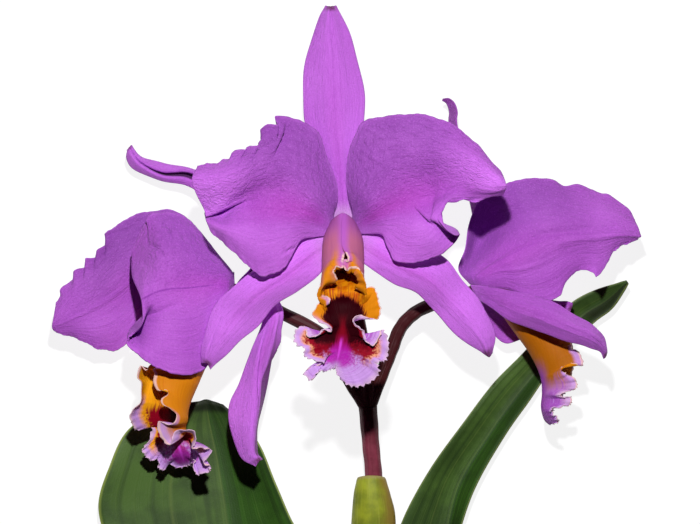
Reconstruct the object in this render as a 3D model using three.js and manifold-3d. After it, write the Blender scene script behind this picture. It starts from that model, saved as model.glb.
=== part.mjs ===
// A cattleya orchid: one cut flowering growth with three blooms, lying on its back on a surface.
// Millimetres, +Z up. The blooms face +Z and turn away to both sides, and their dorsal sepals point to +Y.
// Petals, sepals, lips and leaves are thin closed sheets drawn through rows of points from base to tip.

import * as THREE from 'three';
import { mergeVertices } from 'three/addons/utils/BufferGeometryUtils.js';
import Module from 'manifold-3d';

// Driving dimensions
const PETAL_THICKNESS = 0.8;
const SEPAL_THICKNESS = 0.9;
const LIP_THICKNESS = 0.8;
const LEAF_THICKNESS = 1.8;
const SHEATH_THICKNESS = 0.8;
const STEM_RADIUS = 4.2;
const PEDICEL_RADIUS = 3.3;
const RECEPTACLE_RADIUS = 3.3;
const COLUMN_RADIUS = 2.2;
const COLUMN_REACH = 0.3;
const PSEUDOBULB_RADIUS = 12;
const PSEUDOBULB_LENGTH = 32;
const PETAL_FRILL = 1.3;
const SEPAL_WAVE = 0.35;
const LIP_FRILL = 2.4;
const LIP_MARGIN_WAVES = 7;
const LIP_TIP_WAVES = 2.4;
const LIP_APEX_NOTCH = 3.5;
const LIP_CORNER = 7;
const SEAT_GAP = 0.4;

// Centres of the blooms, where sepals, petals, lip and column meet the receptacle
const CENTER = [-3.5, 15, 58];
const LEFT = [-59, -14, 28];
const RIGHT = [65, -14, 30];
const PSEUDOBULB_TOP = [7.5, -200, 12];

// Colours and finishes
const violet = (name) => new THREE.MeshStandardMaterial({ name, color: 0xb45fd0, roughness: 0.55 });
const lipColour = () => new THREE.MeshStandardMaterial({ name: 'lip', color: 0x8c2a52, roughness: 0.5 });
const columnColour = () => new THREE.MeshStandardMaterial({ name: 'column', color: 0xe6c8e6, roughness: 0.45 });
const stemColour = () => new THREE.MeshStandardMaterial({ name: 'stem', color: 0x4a2433, roughness: 0.5 });
const sheathColour = () => new THREE.MeshStandardMaterial({ name: 'sheath', color: 0x93a03a, roughness: 0.55 });
const leafColour = () => new THREE.MeshStandardMaterial({ name: 'leaf', color: 0x3f6b2c, roughness: 0.4 });
const bulbColour = () => new THREE.MeshStandardMaterial({ name: 'bulb', color: 0x6f8a3c, roughness: 0.5 });

// ---- Sheets -------------------------------------------------------------------------------------------------------

// A smooth curve through a list of equally long number rows, at 0..1 along the list
function curveAt(rows, along) {
  const spans = rows.length - 1;
  const index = Math.min(Math.floor(along * spans), spans - 1);
  const f = along * spans - index;
  const b = rows[index];
  const c = rows[index + 1];
  const a = rows[index - 1] ?? b.map((value, k) => 2 * value - c[k]);
  const d = rows[index + 2] ?? c.map((value, k) => 2 * value - b[k]);
  return b.map((value, k) => {
    const slope = (c[k] - a[k]) / 2;
    const nextSlope = (d[k] - value) / 2;
    const gap = c[k] - value;
    return value + slope * f + (3 * gap - 2 * slope - nextSlope) * f * f + (slope + nextSlope - 2 * gap) * f ** 3;
  });
}

// The surface through a net of points: s runs from base to tip and t from one edge to the other
function netSurface(net) {
  const columns = net[0].map((_, column) => net.map((row) => row[column]));
  return (s, t) => new THREE.Vector3(...curveAt(columns.map((points) => curveAt(points, s)), t));
}

// The same surface with a waved edge: `height` across the blade and `reach` in its own plane, more toward the edges
function wavedSurface(net, { height, reach, waves, start }) {
  const flat = netSurface(net);
  return (s, t) => {
    const point = flat(s, t);
    const side = 2 * t - 1;
    const grow = Math.abs(side) ** 3 * THREE.MathUtils.smoothstep(s, start, start + 0.25);
    const phase = 2 * Math.PI * waves * s + (side > 0 ? 1.1 : 0);
    const outward = flat(s, 1).sub(flat(s, 0)).normalize().multiplyScalar(Math.sign(side));
    point.z += height * grow * (Math.sin(phase) + 0.5 * Math.sin(1.7 * phase + 2));
    return point.addScaledVector(outward, reach * grow * Math.sin(2.3 * phase + 0.6));
  };
}

// A closed sheet of even thickness over a surface, its four edges closed by a rim
function sheet(surface, rowCount, columnCount, thickness) {
  const width = columnCount + 1;
  const points = [];
  for (let i = 0; i <= rowCount; i++) {
    for (let j = 0; j <= columnCount; j++) {
      points.push(surface(i / rowCount, j / columnCount));
    }
  }
  const at = (i, j) => points[i * width + j];
  const front = [];
  const back = [];
  for (let i = 0; i <= rowCount; i++) {
    for (let j = 0; j <= columnCount; j++) {
      const along = at(Math.min(i + 1, rowCount), j).clone().sub(at(Math.max(i - 1, 0), j));
      const across = at(i, Math.min(j + 1, columnCount)).clone().sub(at(i, Math.max(j - 1, 0)));
      const offset = along.cross(across).normalize().multiplyScalar(thickness / 2);
      front.push(...at(i, j).clone().add(offset));
      back.push(...at(i, j).clone().sub(offset));
    }
  }
  const index = [];
  const backStart = points.length;
  for (let i = 0; i < rowCount; i++) {
    for (let j = 0; j < columnCount; j++) {
      const a = i * width + j;
      const b = a + width;
      index.push(a, b, a + 1, a + 1, b, b + 1);
      index.push(backStart + a, backStart + a + 1, backStart + b);
      index.push(backStart + a + 1, backStart + b + 1, backStart + b);
    }
  }
  const rim = [];
  for (let j = 0; j < columnCount; j++) rim.push(j);
  for (let i = 0; i < rowCount; i++) rim.push(i * width + columnCount);
  for (let j = columnCount; j > 0; j--) rim.push(rowCount * width + j);
  for (let i = rowCount; i > 0; i--) rim.push(i * width);
  rim.forEach((from, k) => {
    const to = rim[(k + 1) % rim.length];
    index.push(from, to, backStart + from, to, backStart + to, backStart + from);
  });
  const geometry = new THREE.BufferGeometry();
  geometry.setAttribute('position', new THREE.Float32BufferAttribute([...front, ...back], 3));
  geometry.setIndex(index);
  return geometry;
}

// ---- Lip and sheath: a sheet rolled round its own midline ------------------------------------------------------------

// Stations hold a point of the midline, half the flat width there, the angle that this half is rolled through, and
// how far the section is twisted round the midline.
// v runs from -1 at one margin over 0 on the midline to 1 at the other.
function rolledSurface(stations, edge) {
  return (s, t) => {
    const v = 2 * t - 1;
    const [x, y, z, halfWidth, roll, twist = 0] = curveAt(stations, s);
    const ahead = curveAt(stations, Math.min(s + 0.01, 1));
    const behind = curveAt(stations, Math.max(s - 0.01, 0));
    const forward = new THREE.Vector3(0, ahead[1] - behind[1], ahead[2] - behind[2]).normalize();
    const inward = new THREE.Vector3(0, forward.z, -forward.y).applyAxisAngle(forward, twist);
    const across = new THREE.Vector3().crossVectors(inward, forward);
    const angle = roll * v;
    const radius = halfWidth / roll;
    const outward = across.multiplyScalar(Math.sin(angle)).addScaledVector(inward, -Math.cos(angle));
    const frill = edge(s, v);
    return new THREE.Vector3(x, y, z)
      .addScaledVector(inward, radius)
      .addScaledVector(outward, radius + frill.out)
      .addScaledVector(forward, frill.ahead);
  };
}

// The lip's margin: flared round the given place of the throat, frilled from there round the middle lobe, notched at
// the apex
function lipEdge(flareLeft, flareRight, throat) {
  return (s, v) => {
    const margin = Math.abs(v);
    const flare = (v < 0 ? flareLeft : flareRight) * Math.exp(-(((s - throat) / 0.07) ** 2)) * margin ** 4;
    const opened = THREE.MathUtils.smoothstep(s, 0.38, 0.6);
    const tip = THREE.MathUtils.smoothstep(s, 0.8, 1);
    const sideWave = margin ** 4 * Math.sin(2 * Math.PI * LIP_MARGIN_WAVES * s + (v < 0 ? 0.4 : 2.2));
    const tipWave = tip * Math.sin(2 * Math.PI * LIP_TIP_WAVES * v + 0.7) * (1 - margin ** 4);
    const notch = -LIP_APEX_NOTCH * Math.exp(-((v / 0.16) ** 2)) - LIP_CORNER * margin ** 4;
    return { out: flare + LIP_FRILL * opened * (sideWave + 0.8 * tipWave), ahead: tip * notch };
  };
}

// ---- The blooms: nets from base to tip, relative to the bloom's centre -------------------------------------------------

const CENTER_DORSAL_SEPAL = [
  [[-2, 3.4, -3.5], [0, 3.6, -3.2], [2, 3.4, -3.5]],
  [[-3.5, 11, -3.5], [0, 11, -2.5], [3.5, 11, -3.5]],
  [[-5, 20, -4], [-0.5, 20, -2], [4, 20, -4]],
  [[-11, 35, -5], [-2, 35, -1.5], [6, 35, -5]],
  [[-18, 51, -8], [-3.5, 51, -2], [10, 51, -8]],
  [[-20, 66, -10], [-4.5, 66, -3], [11, 66, -10]],
  [[-19.5, 81, -12], [-5, 81, -5], [8.5, 81, -12]],
  [[-16, 96, -14], [-6, 96, -8], [4.5, 96, -14]],
  [[-12, 107, -15], [-6.5, 107, -11], [0, 107, -15]],
  [[-9, 113.5, -17], [-6.5, 113, -15], [-3.5, 113.5, -17]],
];
const CENTER_LEFT_SEPAL = [
  [[-3.4, -1.8, -3], [-3, -2.9, -2.8], [-1.8, -3.8, -3]],
  [[-8, 0, -4], [-7.5, -6.5, -3], [-5, -12, -4]],
  [[-20, -4, -5], [-17, -14.5, -2.5], [-12.5, -22, -5]],
  [[-35.5, -12, -7], [-29, -22.5, -3.5], [-22, -29, -7]],
  [[-53, -26, -8.5], [-44, -33, -4.5], [-34, -37, -8.5]],
  [[-62.5, -34.5, -9], [-53.5, -42.5, -6], [-43, -47.5, -9]],
  [[-68, -46.5, -10], [-61, -52.5, -7], [-52.5, -55.5, -10]],
  [[-70.5, -57, -11], [-66, -61, -9], [-60.5, -63.5, -11]],
  [[-71, -65, -13], [-69, -67, -12], [-66.5, -68.5, -13]],
];
const CENTER_RIGHT_SEPAL = [
  [[3.4, -1.8, -3], [3, -2.9, -2.8], [1.8, -3.8, -3]],
  [[8, 0, -4], [7.5, -6, -3], [5, -11, -4]],
  [[21, -2, -5], [17, -12, -2.5], [12, -17, -5]],
  [[38, -7, -7], [31, -18, -3.5], [25, -25.5, -7]],
  [[52, -14, -9], [43.5, -24.5, -5], [36.5, -30.5, -9]],
  [[60.5, -25, -11], [53, -34, -7], [45, -38.5, -11]],
  [[69.5, -36, -12], [61.5, -42.5, -8], [53, -48, -12]],
  [[75, -48, -13], [69, -52, -10], [61.5, -55.5, -13]],
  [[76.5, -57, -15], [73.5, -61, -14], [69.5, -60, -15]],
];
const CENTER_LEFT_PETAL = [
  [[-3.4, 3.5, 0], [-3.5, 2.2, 0.4], [-3.6, 1, 0.6], [-3.5, -0.2, 0.4], [-3.4, -1.4, 0]],
  [[-5, 18, 2], [-7.5, 12, 3.5], [-10.5, 5.5, 3.5], [-12.5, 1, 3], [-13.5, -2.5, 2]],
  [[-8, 33.5, 3], [-14, 21, 8], [-18, 9.5, 8], [-20, 1.5, 7], [-20.5, -4, 5]],
  [[-12.5, 47, 3], [-20.5, 30, 9], [-26.5, 12, 9], [-27.5, 0, 10], [-24.5, -10, 6]],
  [[-22.5, 56.5, 4], [-29, 36, 10], [-35.5, 13, 9], [-35.5, -1.5, 12], [-29.5, -18, 6]],
  [[-35.5, 55, 5], [-40.5, 34.5, 11], [-44.5, 13, 8], [-44.5, -2.5, 13], [-40.5, -22, 7]],
  [[-48.5, 42.5, 7], [-51, 28.5, 13], [-53, 12, 6], [-53.5, 0, 12], [-51.5, -13, 8]],
  [[-60.5, 37, 8], [-63, 25, 14], [-61, 9, 3], [-61, 2, 9], [-60, -5, 6]],
  [[-72, 33, 7], [-75, 25, 11], [-69.5, 11, 3], [-68, 5, 5], [-66, 0, 4]],
];
const CENTER_RIGHT_PETAL = [
  [[3.4, 3.5, 0], [3.5, 2.2, 0.4], [3.6, 1, 0.6], [3.5, -0.2, 0.4], [3.4, -1.4, 0]],
  [[3.5, 16, 2], [7, 10, 3.5], [10, 5, 3.5], [12, 1.5, 3], [13, -1, 2]],
  [[1.5, 30, 3], [10.5, 18, 8], [17.5, 9.5, 8], [19, 3.5, 7], [19.5, -1.5, 5]],
  [[3, 43.5, 3], [16, 27, 9], [26, 14.5, 9], [27, 3.5, 10], [22.5, -8, 6]],
  [[10.5, 55, 3], [23.5, 36, 10], [34.5, 18, 9], [34.5, 2, 13], [29.5, -15, 7]],
  [[24.5, 58, 5], [34.5, 38.5, 11], [43.5, 20, 8], [43.5, 4, 14], [40.5, -15.5, 8]],
  [[39.5, 58.5, 7], [46.5, 39, 11], [53, 21, 7], [51.5, 8.5, 14], [52.5, -7.5, 12]],
  [[54.5, 53.5, 7], [59, 37.5, 10], [62.5, 22, 6], [59.5, 16.5, 7], [53.5, 10.5, 9]],
  [[67.5, 42.5, 7], [70.5, 32, 9], [72, 21, 6], [70.5, 18.5, 5], [66.5, 15.5, 5]],
  [[78.5, 29.5, 6], [80.5, 25.5, 6], [81, 22, 5], [80, 19.5, 4], [77.5, 17.5, 3]],
];

const LEFT_DORSAL_SEPAL = [
  [[1.5, 3.8, 1.2], [0, 4.1, -0.5], [-1.5, 3.8, 1.2]],
  [[-0.5, 25, -1], [-4, 23, -9], [-7.5, 21.5, -1]],
  [[-6, 41, -6], [-10, 38.5, -16], [-14, 37, -6]],
  [[-12.5, 54.5, -11], [-14.5, 50.5, -20], [-17, 47, -10]],
  [[-22, 60.5, -14], [-23, 56.5, -24], [-24, 52.5, -13]],
  [[-35, 63.5, -16], [-36, 60, -27.6], [-37.5, 56, -15]],
  [[-45.5, 66.5, -16], [-46.5, 64, -25], [-48.5, 61, -16]],
  [[-50, 70.5, -16], [-51.5, 69, -21], [-53.5, 67, -16]],
  [[-51.5, 73, -14], [-52.5, 72, -16], [-54, 70.5, -14]],
];
const LEFT_NEAR_SEPAL = [
  [[0.5, -4, 2.2], [2, -3.5, 2.6], [3.6, -2.4, 2.2]],
  [[13, -7, 1], [16, -4.5, 3], [19, -2.5, 1]],
  [[15, -16, 1], [20.5, -14, 4], [25.5, -11.5, 0]],
  [[9.5, -30, 1], [15.5, -31, 5], [22, -30, -1]],
  [[4, -45.5, 1], [12.5, -44, 6], [18.5, -44.5, 0]],
  [[-1.5, -57, 2], [11, -57.5, 8], [14.5, -58.5, 1]],
  [[-1, -70.5, 3], [10, -71, 9], [12, -71.5, 3]],
  [[4, -83.5, 5], [10.5, -81, 9], [12.5, -81, 5]],
  [[11, -89, 8], [13.5, -87, 9], [15, -85, 8]],
];
const LEFT_FAR_SEPAL = [
  [[-2.6, -3, -1.6], [-1.4, -3.6, -2], [0, -3.6, -2.8]],
  [[-14, -4, -13], [-10, -11, -14], [-5, -17, -15]],
  [[-29, -9, -18], [-24, -18, -17], [-18, -26, -19]],
  [[-44, -12, -21], [-40, -21, -19], [-34, -30, -21]],
  [[-56, -17, -22], [-53, -23, -20.5], [-48, -29, -22]],
  [[-62, -22, -22], [-61, -24, -21.5], [-58, -26, -22]],
];
const LEFT_NEAR_PETAL = [
  [[1, 3, 3.2], [0.5, 1.5, 3.8], [0, 0, 4.1], [-0.5, -1.5, 3.8], [-1, -3, 3.2]],
  [[-0.5, 15.5, 5], [-2, 9, 9], [-3, 3, 11], [-3.5, -5, 12], [-3, -14, 11]],
  [[-9, 25, 4], [-10.5, 13.5, 12], [-12, 2, 15.5], [-12, -13, 17], [-9, -31, 12.5]],
  [[-18, 34, 3], [-19.5, 17.5, 14], [-21, 1, 18], [-21, -17.5, 20.5], [-15, -40.5, 13]],
  [[-27, 38.5, 3], [-28, 20, 16], [-29.5, 0.5, 20], [-30, -17.5, 23], [-26, -42.5, 21]],
  [[-36, 39, 5], [-36, 20, 17], [-37, -1, 21], [-37.5, -17.5, 24.5], [-37, -39, 24]],
  [[-43.5, 34, 9], [-43.5, 16, 18], [-42.5, -3.5, 21], [-43, -17.5, 24.5], [-44.5, -34.5, 24]],
  [[-50.5, 20, 13], [-50.5, 7.5, 17], [-45.5, -5, 20], [-47.5, -16, 22], [-52.5, -27.5, 21]],
];
const LEFT_FAR_PETAL = [
  [[1, 2.5, -4.2], [0.3, 1.2, -4.6], [0, 0, -4.8], [-0.3, -1.2, -4.6], [-1, -2.5, -4.2]],
  [[-8, 15, -9], [-9.5, 12, -8.5], [-11, 9, -8.5], [-12, 5, -9], [-12.5, 1, -10]],
  [[-26, 38, -11], [-27, 27, -9], [-28, 17, -9], [-28, 7.5, -10], [-27.5, -1, -12]],
  [[-42, 39.5, -11], [-43, 25, -7], [-44, 10, -6], [-44, -2.5, -8], [-43, -14, -12]],
  [[-57, 34, -10], [-58, 17, -5], [-58.5, -1, -3], [-57, -16, -4], [-55.5, -29, -9]],
  [[-69, 20, -9], [-69.5, 6, -4], [-70, -8, -3], [-68.5, -20, -3], [-67, -30, -8]],
  [[-80, 9, -8], [-80.5, -2, -4], [-81, -13, -3], [-79.5, -19.5, -4], [-77.5, -25, -6]],
  [[-89, -6.5, -5], [-90, -12.5, -4], [-91, -18, -4], [-90.5, -20, -5], [-89, -21.5, -6]],
];

const RIGHT_DORSAL_SEPAL = [
  [[-0.5, 3.7, 1.5], [-1.2, 4.1, 0], [-0.5, 3.7, -1.5]],
  [[-3, 20, -6], [-5.5, 20, -14], [-3.5, 20, -22]],
  [[-6, 42.5, -7], [-9, 42.5, -17], [-6.5, 42.5, -27]],
  [[-9.5, 65, -8], [-12.5, 65, -18], [-10, 65, -30]],
  [[-11.5, 82.5, -10], [-14.5, 82, -18], [-12, 82.5, -27]],
  [[-12, 90.5, -12], [-14.5, 89.5, -18], [-12.5, 90.5, -24]],
  [[-17.5, 96, -16], [-18, 94.5, -18], [-17.5, 95.5, -20]],
];
const RIGHT_NEAR_SEPAL = [
  [[2.8, -2.4, 2], [1.2, -3.5, 2], [-0.5, -3.7, 1.6]],
  [[7.5, 0, 8], [7.5, -4, 9], [6.5, -9, 7.5]],
  [[18.5, -1, 12], [17.5, -8.5, 16], [15, -15.5, 12]],
  [[30, -3.5, 16], [28.5, -12, 22], [26.5, -19.5, 16]],
  [[39.5, -7.5, 19], [38, -16, 24.5], [35.5, -23, 19]],
  [[48.5, -13, 20], [47, -20, 24.5], [45, -26, 20]],
  [[57, -18, 19], [55.5, -23.5, 23], [53.5, -28.5, 19]],
  [[62, -23.5, 17], [61, -28, 19], [59.5, -30.5, 17]],
  [[64, -31, 14.5], [63, -33.5, 15], [62, -34.5, 14.5]],
];
const RIGHT_FAR_SEPAL = [
  [[2.5, -3, -2], [1, -3.7, -2.6], [-0.8, -3.9, -2]],
  [[10, -5, -12], [8, -12.5, -11], [5, -19, -12]],
  [[20, -6, -16], [18, -16, -15], [14, -27, -16]],
  [[31.5, -5.5, -17], [30, -14, -16], [28, -22, -17]],
  [[41, -5.5, -17], [39.5, -11.5, -16.5], [38, -17.5, -17]],
  [[47.5, -6.5, -16], [47, -9, -16], [46, -11, -16]],
];
const RIGHT_NEAR_PETAL = [
  [[-2, 2.4, 3.4], [-1, 1.8, 3.7], [0, 1.2, 3.9], [1, 0.6, 3.9], [2, 0, 3.6]],
  [[-10.5, 9.5, 3], [-6, 8, 5.5], [0, 6.5, 7], [3.5, 3.5, 7], [6, 1.5, 6]],
  [[-8, 20, 2], [-3, 17, 6], [6, 12, 9], [11.5, 6, 9], [15, 0, 7]],
  [[-7, 32.5, 1], [2, 26, 7], [14, 16.5, 12], [22, 5, 10], [27.5, -5, 7]],
  [[0, 47, 1], [11, 35.5, 8], [24, 21.5, 13], [32.5, 8, 11], [38, -4.5, 8]],
  [[15, 54, -1], [24, 40, 7], [34.5, 26, 12], [41.5, 13.5, 10], [45.5, 2.5, 7]],
  [[32.5, 56, -3], [38.5, 42.5, 5], [46, 28, 10], [51, 18, 8], [54, 9, 5]],
  [[50, 53, -5], [53.5, 41.5, 2], [58.5, 28.5, 7], [61, 18, 6], [61.5, 9, 4]],
  [[65, 47.5, -6], [67.5, 39, -1], [70, 28.5, 4], [70, 23.5, 3], [68.5, 19, 1]],
  [[77, 38, -6], [79, 33.5, -4], [81, 27.5, -2], [79.5, 25.5, -3], [77.5, 24, -4]],
];
const RIGHT_FAR_PETAL = [
  [[2, 2.5, -4.2], [1, 1.2, -4.7], [0, 0, -4.2]],
  [[8, 17, -12], [12, 12, -12], [16, 6, -12]],
  [[16, 31, -17], [23, 20, -14], [30, 7, -17]],
  [[30, 42, -20], [37.5, 26, -16], [43, 10, -20]],
  [[47, 43, -21], [52, 29, -17], [54, 16, -21]],
  [[60, 38, -21], [64, 30, -19], [63, 23, -21]],
  [[68.5, 32, -20], [70, 29, -20], [68.5, 26.5, -20]],
];

// A lip's midline: the tube round the column, the waist at the throat and the spread middle lobe
const CENTER_LIP = [
  [0, -2.6, 4.1, 13, 2.7],
  [0, -9, 8, 25, 2.95],
  [0, -18, 14, 31, 3.05],
  [0, -27, 22, 31, 3.05],
  [0, -33, 28.5, 30, 2.85],
  [0, -39, 32, 21, 1.7],
  [0, -45.5, 34.5, 9.5, 1],
  [0, -52, 35.5, 23, 0.6],
  [0, -62, 34, 24, 0.4],
  [0, -73, 30, 15, 0.3],
];
const LEFT_LIP = [
  [0, -2.6, 5.1, 13, 2.7, 0],
  [0, -14, 12, 24, 2.9, 0],
  [0, -27, 20.5, 30, 2.9, 0],
  [0, -38, 29, 31, 2.8, 0],
  [0, -47, 36.5, 31, 2.55, 0],
  [0, -54, 42, 27, 2, -0.2],
  [0, -61, 45, 16, 1.3, -0.5],
  [0, -67.5, 46, 21, 0.9, -0.8],
  [0, -75, 45.5, 22, 0.75, -0.9],
  [0, -82, 43.5, 16, 0.6, -0.9],
];
// The right lip's middle lobe stays rolled
const RIGHT_LIP = [
  [0, -2.6, 5.1, 13, 2.7],
  [0, -10, 10, 24, 2.95],
  [0, -20, 17, 30, 3.05],
  [0, -30, 24.5, 30, 2.8],
  [0, -38, 29, 28, 2.2],
  [0, -45, 31.5, 25, 1.8],
  [0, -52, 32, 21, 1.5],
  [0, -59, 31.5, 19, 1.3],
  [0, -65, 33, 15, 1],
  [0, -68, 36, 10, 0.8],
];

// ---- Stem, leaves, sheath -------------------------------------------------------------------------------------------

const FORK = [9, -73, 24];
const PEDUNCLE = [[7.5, -199.2, 12], [7.8, -190, 12.5], [10, -165, 14.5], [12, -130, 18], [12, -109, 20],
  [10.5, -92, 22], FORK];
const CENTER_PEDICEL = [FORK, [8, -52, 27], [3, -22, 34], [-2, 5, 40], [-3.5, 15, 48], [-3.5, 15, 55]];
const LEFT_PEDICEL = [FORK, [0, -49, 22], [-15, -36, 21], [-36.5, -24.5, 19], [-48, -17, 22], LEFT];
const RIGHT_PEDICEL = [FORK, [16.5, -55, 22], [21, -44, 21], [25, -34, 21], [31, -27, 22], [40, -22, 24], RIGHT];

const LEFT_LEAF = [
  [[2, -199.1, 17.6], [0.8, -199.1, 15.5], [0.3, -199.1, 12], [0.8, -199.1, 9.5], [2, -199.1, 7.4]],
  [[-12, -191, 17], [-9, -188, 12], [-6, -184, 9], [-4, -181, 7.5], [-3.5, -178, 8]],
  [[-50, -190, 14], [-40, -178, 6], [-28, -170, 4], [-18, -163, 6], [-12, -156, 12]],
  [[-89, -176, 12], [-67, -164, 5], [-47, -156, 2], [-32, -149, 6], [-22, -142, 12]],
  [[-115, -154, 11], [-86, -146, 5], [-60, -139.5, 1], [-43, -135, 5], [-30, -130, 12]],
  [[-124.5, -127, 11], [-93, -124, 5], [-64, -120, 1], [-49, -116, 5], [-37, -112.5, 12]],
  [[-118.5, -104, 11], [-92, -102, 5], [-67.5, -99, 1], [-55, -96, 5], [-45, -94, 11]],
  [[-102, -83, 9], [-86, -83, 5], [-71, -82.5, 2], [-62, -81.5, 4], [-55, -80, 8]],
  [[-80, -71.5, 6], [-76.5, -70.5, 5], [-73, -69.5, 4], [-69, -70.5, 5], [-64, -72, 6]],
];
const RIGHT_LEAF = [
  [[13, -199.1, 7.4], [14.9, -199.1, 12], [13, -199.1, 16.6]],
  [[18, -182, 7], [23, -183, 8], [25, -186, 15]],
  [[20, -152, 8], [37, -165, 3], [43, -168, 12]],
  [[27, -129.5, 8], [46.5, -144, 1], [51.5, -147.5, 12]],
  [[40.5, -105, 8], [55, -112.5, 1], [62.5, -116, 11]],
  [[56.5, -82, 8], [71, -86, 1], [78.5, -87, 10]],
  [[71.5, -62.5, 6], [84, -68, 1], [91, -69, 9]],
  [[87, -47, 5], [97.5, -51.5, 1], [103, -52, 8]],
  [[99, -33, 5], [107, -38, 1], [112.5, -40.5, 8]],
  [[111.5, -21, 5], [118.5, -27, 1], [123.5, -30, 9]],
  [[124, -14.5, 6], [130, -19.5, 4], [133, -23, 10]],
  [[139.5, -9.5, 11], [140, -10, 10.5], [140.5, -11, 11.5]],
];
// The sheath is rolled round the stem; its own y and z are measured from its foot
const SHEATH_FOOT = [7.5, -199.4, 12];
const SHEATH = [
  [0, 0, 5.6, 16, 2.9],
  [1.3, 15, 7.6, 18.5, 2.9],
  [2.8, 35, 11, 24.5, 2.9],
  [4, 55, 15, 31, 2.9],
  [4.4, 72, 16.8, 30.5, 2.9],
  [3.6, 84, 16.3, 25.5, 2.9],
  [3.2, 92, 14.5, 18, 2.6],
];

// ---- Building ---------------------------------------------------------------------------------------------------------

const wasm = await Module();
wasm.setup();

function toManifold(geometry) {
  const bare = geometry.clone();
  bare.deleteAttribute('normal');
  bare.deleteAttribute('uv');
  const merged = mergeVertices(bare, 1e-4);
  return new wasm.Manifold(new wasm.Mesh({
    numProp: 3,
    vertProperties: merged.attributes.position.array,
    triVerts: new Uint32Array(merged.index.array),
  }));
}

function fromManifold(manifold) {
  const mesh = manifold.getMesh();
  const geometry = new THREE.BufferGeometry();
  geometry.setAttribute('position', new THREE.Float32BufferAttribute(mesh.vertProperties, 3));
  geometry.setIndex([...mesh.triVerts]);
  return geometry;
}

// A round tube along a smooth curve through the points, with flat ends
function tube(points, radius, steps) {
  const sides = 10;
  const section = new THREE.Shape(new THREE.EllipseCurve(0, 0, radius, radius).getPoints(sides).slice(0, sides));
  const path = new THREE.CatmullRomCurve3(points.map(([x, y, z]) => new THREE.Vector3(x, y, z)));
  return new THREE.ExtrudeGeometry(section, { steps, extrudePath: path, bevelEnabled: false });
}

function ball(center, radius) {
  return new THREE.SphereGeometry(radius, 12, 8).translate(...center);
}

const growth = new THREE.Group();

function add(name, geometry, material, place) {
  const mesh = new THREE.Mesh(geometry, material);
  mesh.name = name;
  if (place) mesh.applyMatrix4(place);
  growth.add(mesh);
}

function addBlade(name, net, center, wave) {
  const petal = name.includes('petal');
  const surface = wavedSurface(net, wave);
  const geometry = petal ? sheet(surface, 18, 8, PETAL_THICKNESS) : sheet(surface, 12, 4, SEPAL_THICKNESS);
  add(name, geometry, violet(petal ? 'petal' : 'sepal'), new THREE.Matrix4().makeTranslation(...center));
}

const petalWave = { height: PETAL_FRILL, reach: 0.9, waves: 4, start: 0.2 };
const sepalWave = { height: SEPAL_WAVE, reach: 0.2, waves: 2, start: 0.2 };

addBlade('center_dorsal_sepal', CENTER_DORSAL_SEPAL, CENTER, sepalWave);
addBlade('center_left_sepal', CENTER_LEFT_SEPAL, CENTER, sepalWave);
addBlade('center_right_sepal', CENTER_RIGHT_SEPAL, CENTER, sepalWave);
addBlade('center_left_petal', CENTER_LEFT_PETAL, CENTER, petalWave);
addBlade('center_right_petal', CENTER_RIGHT_PETAL, CENTER, petalWave);
addBlade('left_dorsal_sepal', LEFT_DORSAL_SEPAL, LEFT, sepalWave);
addBlade('left_near_sepal', LEFT_NEAR_SEPAL, LEFT, sepalWave);
addBlade('left_far_sepal', LEFT_FAR_SEPAL, LEFT, sepalWave);
addBlade('left_near_petal', LEFT_NEAR_PETAL, LEFT, petalWave);
addBlade('left_far_petal', LEFT_FAR_PETAL, LEFT, petalWave);
addBlade('right_dorsal_sepal', RIGHT_DORSAL_SEPAL, RIGHT, sepalWave);
addBlade('right_near_sepal', RIGHT_NEAR_SEPAL, RIGHT, sepalWave);
addBlade('right_far_sepal', RIGHT_FAR_SEPAL, RIGHT, sepalWave);
addBlade('right_near_petal', RIGHT_NEAR_PETAL, RIGHT, petalWave);
addBlade('right_far_petal', RIGHT_FAR_PETAL, RIGHT, petalWave);

// A bloom's lip and column share a frame at the bloom's centre: nodded about X, turned about Y, leant about Z,
// then tilted toward the surface about X
function bloomFrame(center, nod, turn, lean, tilt) {
  const degrees = Math.PI / 180;
  return new THREE.Matrix4().makeTranslation(...center)
    .multiply(new THREE.Matrix4().makeRotationX(tilt * degrees))
    .multiply(new THREE.Matrix4().makeRotationZ(lean * degrees))
    .multiply(new THREE.Matrix4().makeRotationY(turn * degrees))
    .multiply(new THREE.Matrix4().makeRotationX(nod * degrees));
}

// The column runs from the receptacle along the middle of the lip's tube
function columnGeometry(stations, receptacle) {
  const middles = [0, 0.07, 0.14, 0.21, COLUMN_REACH].map((s) => {
    const floor = rolledSurface(stations, () => ({ out: 0, ahead: 0 }))(s, 0.5);
    const [, , , halfWidth, roll] = curveAt(stations, s);
    const ceiling = rolledSurface(stations, () => ({ out: -2 * halfWidth / roll, ahead: 0 }))(s, 0.5);
    return floor.lerp(ceiling, 0.5);
  });
  const foot = middles[0].clone().sub(receptacle).setLength(RECEPTACLE_RADIUS + SEAT_GAP).add(receptacle);
  return tube([foot, ...middles], COLUMN_RADIUS, 10);
}

function addLip(bloom, stations, edge, receptacle, frame) {
  add(`${bloom}_lip`, sheet(rolledSurface(stations, edge), 30, 10, LIP_THICKNESS), lipColour(), frame);
  add(`${bloom}_column`, columnGeometry(stations, receptacle), columnColour(), frame);
}

addLip('center', CENTER_LIP, lipEdge(4, 8, 0.5), new THREE.Vector3(0, 0, -1), bloomFrame(CENTER, 0, 0, 0, 0));
addLip('left', LEFT_LIP, lipEdge(5, 1, 0.56), new THREE.Vector3(), bloomFrame(LEFT, 22, -60, -9, 12));
addLip('right', RIGHT_LIP, lipEdge(3, 5, 0.5), new THREE.Vector3(), bloomFrame(RIGHT, 0, 95, 0, 0));

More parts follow.
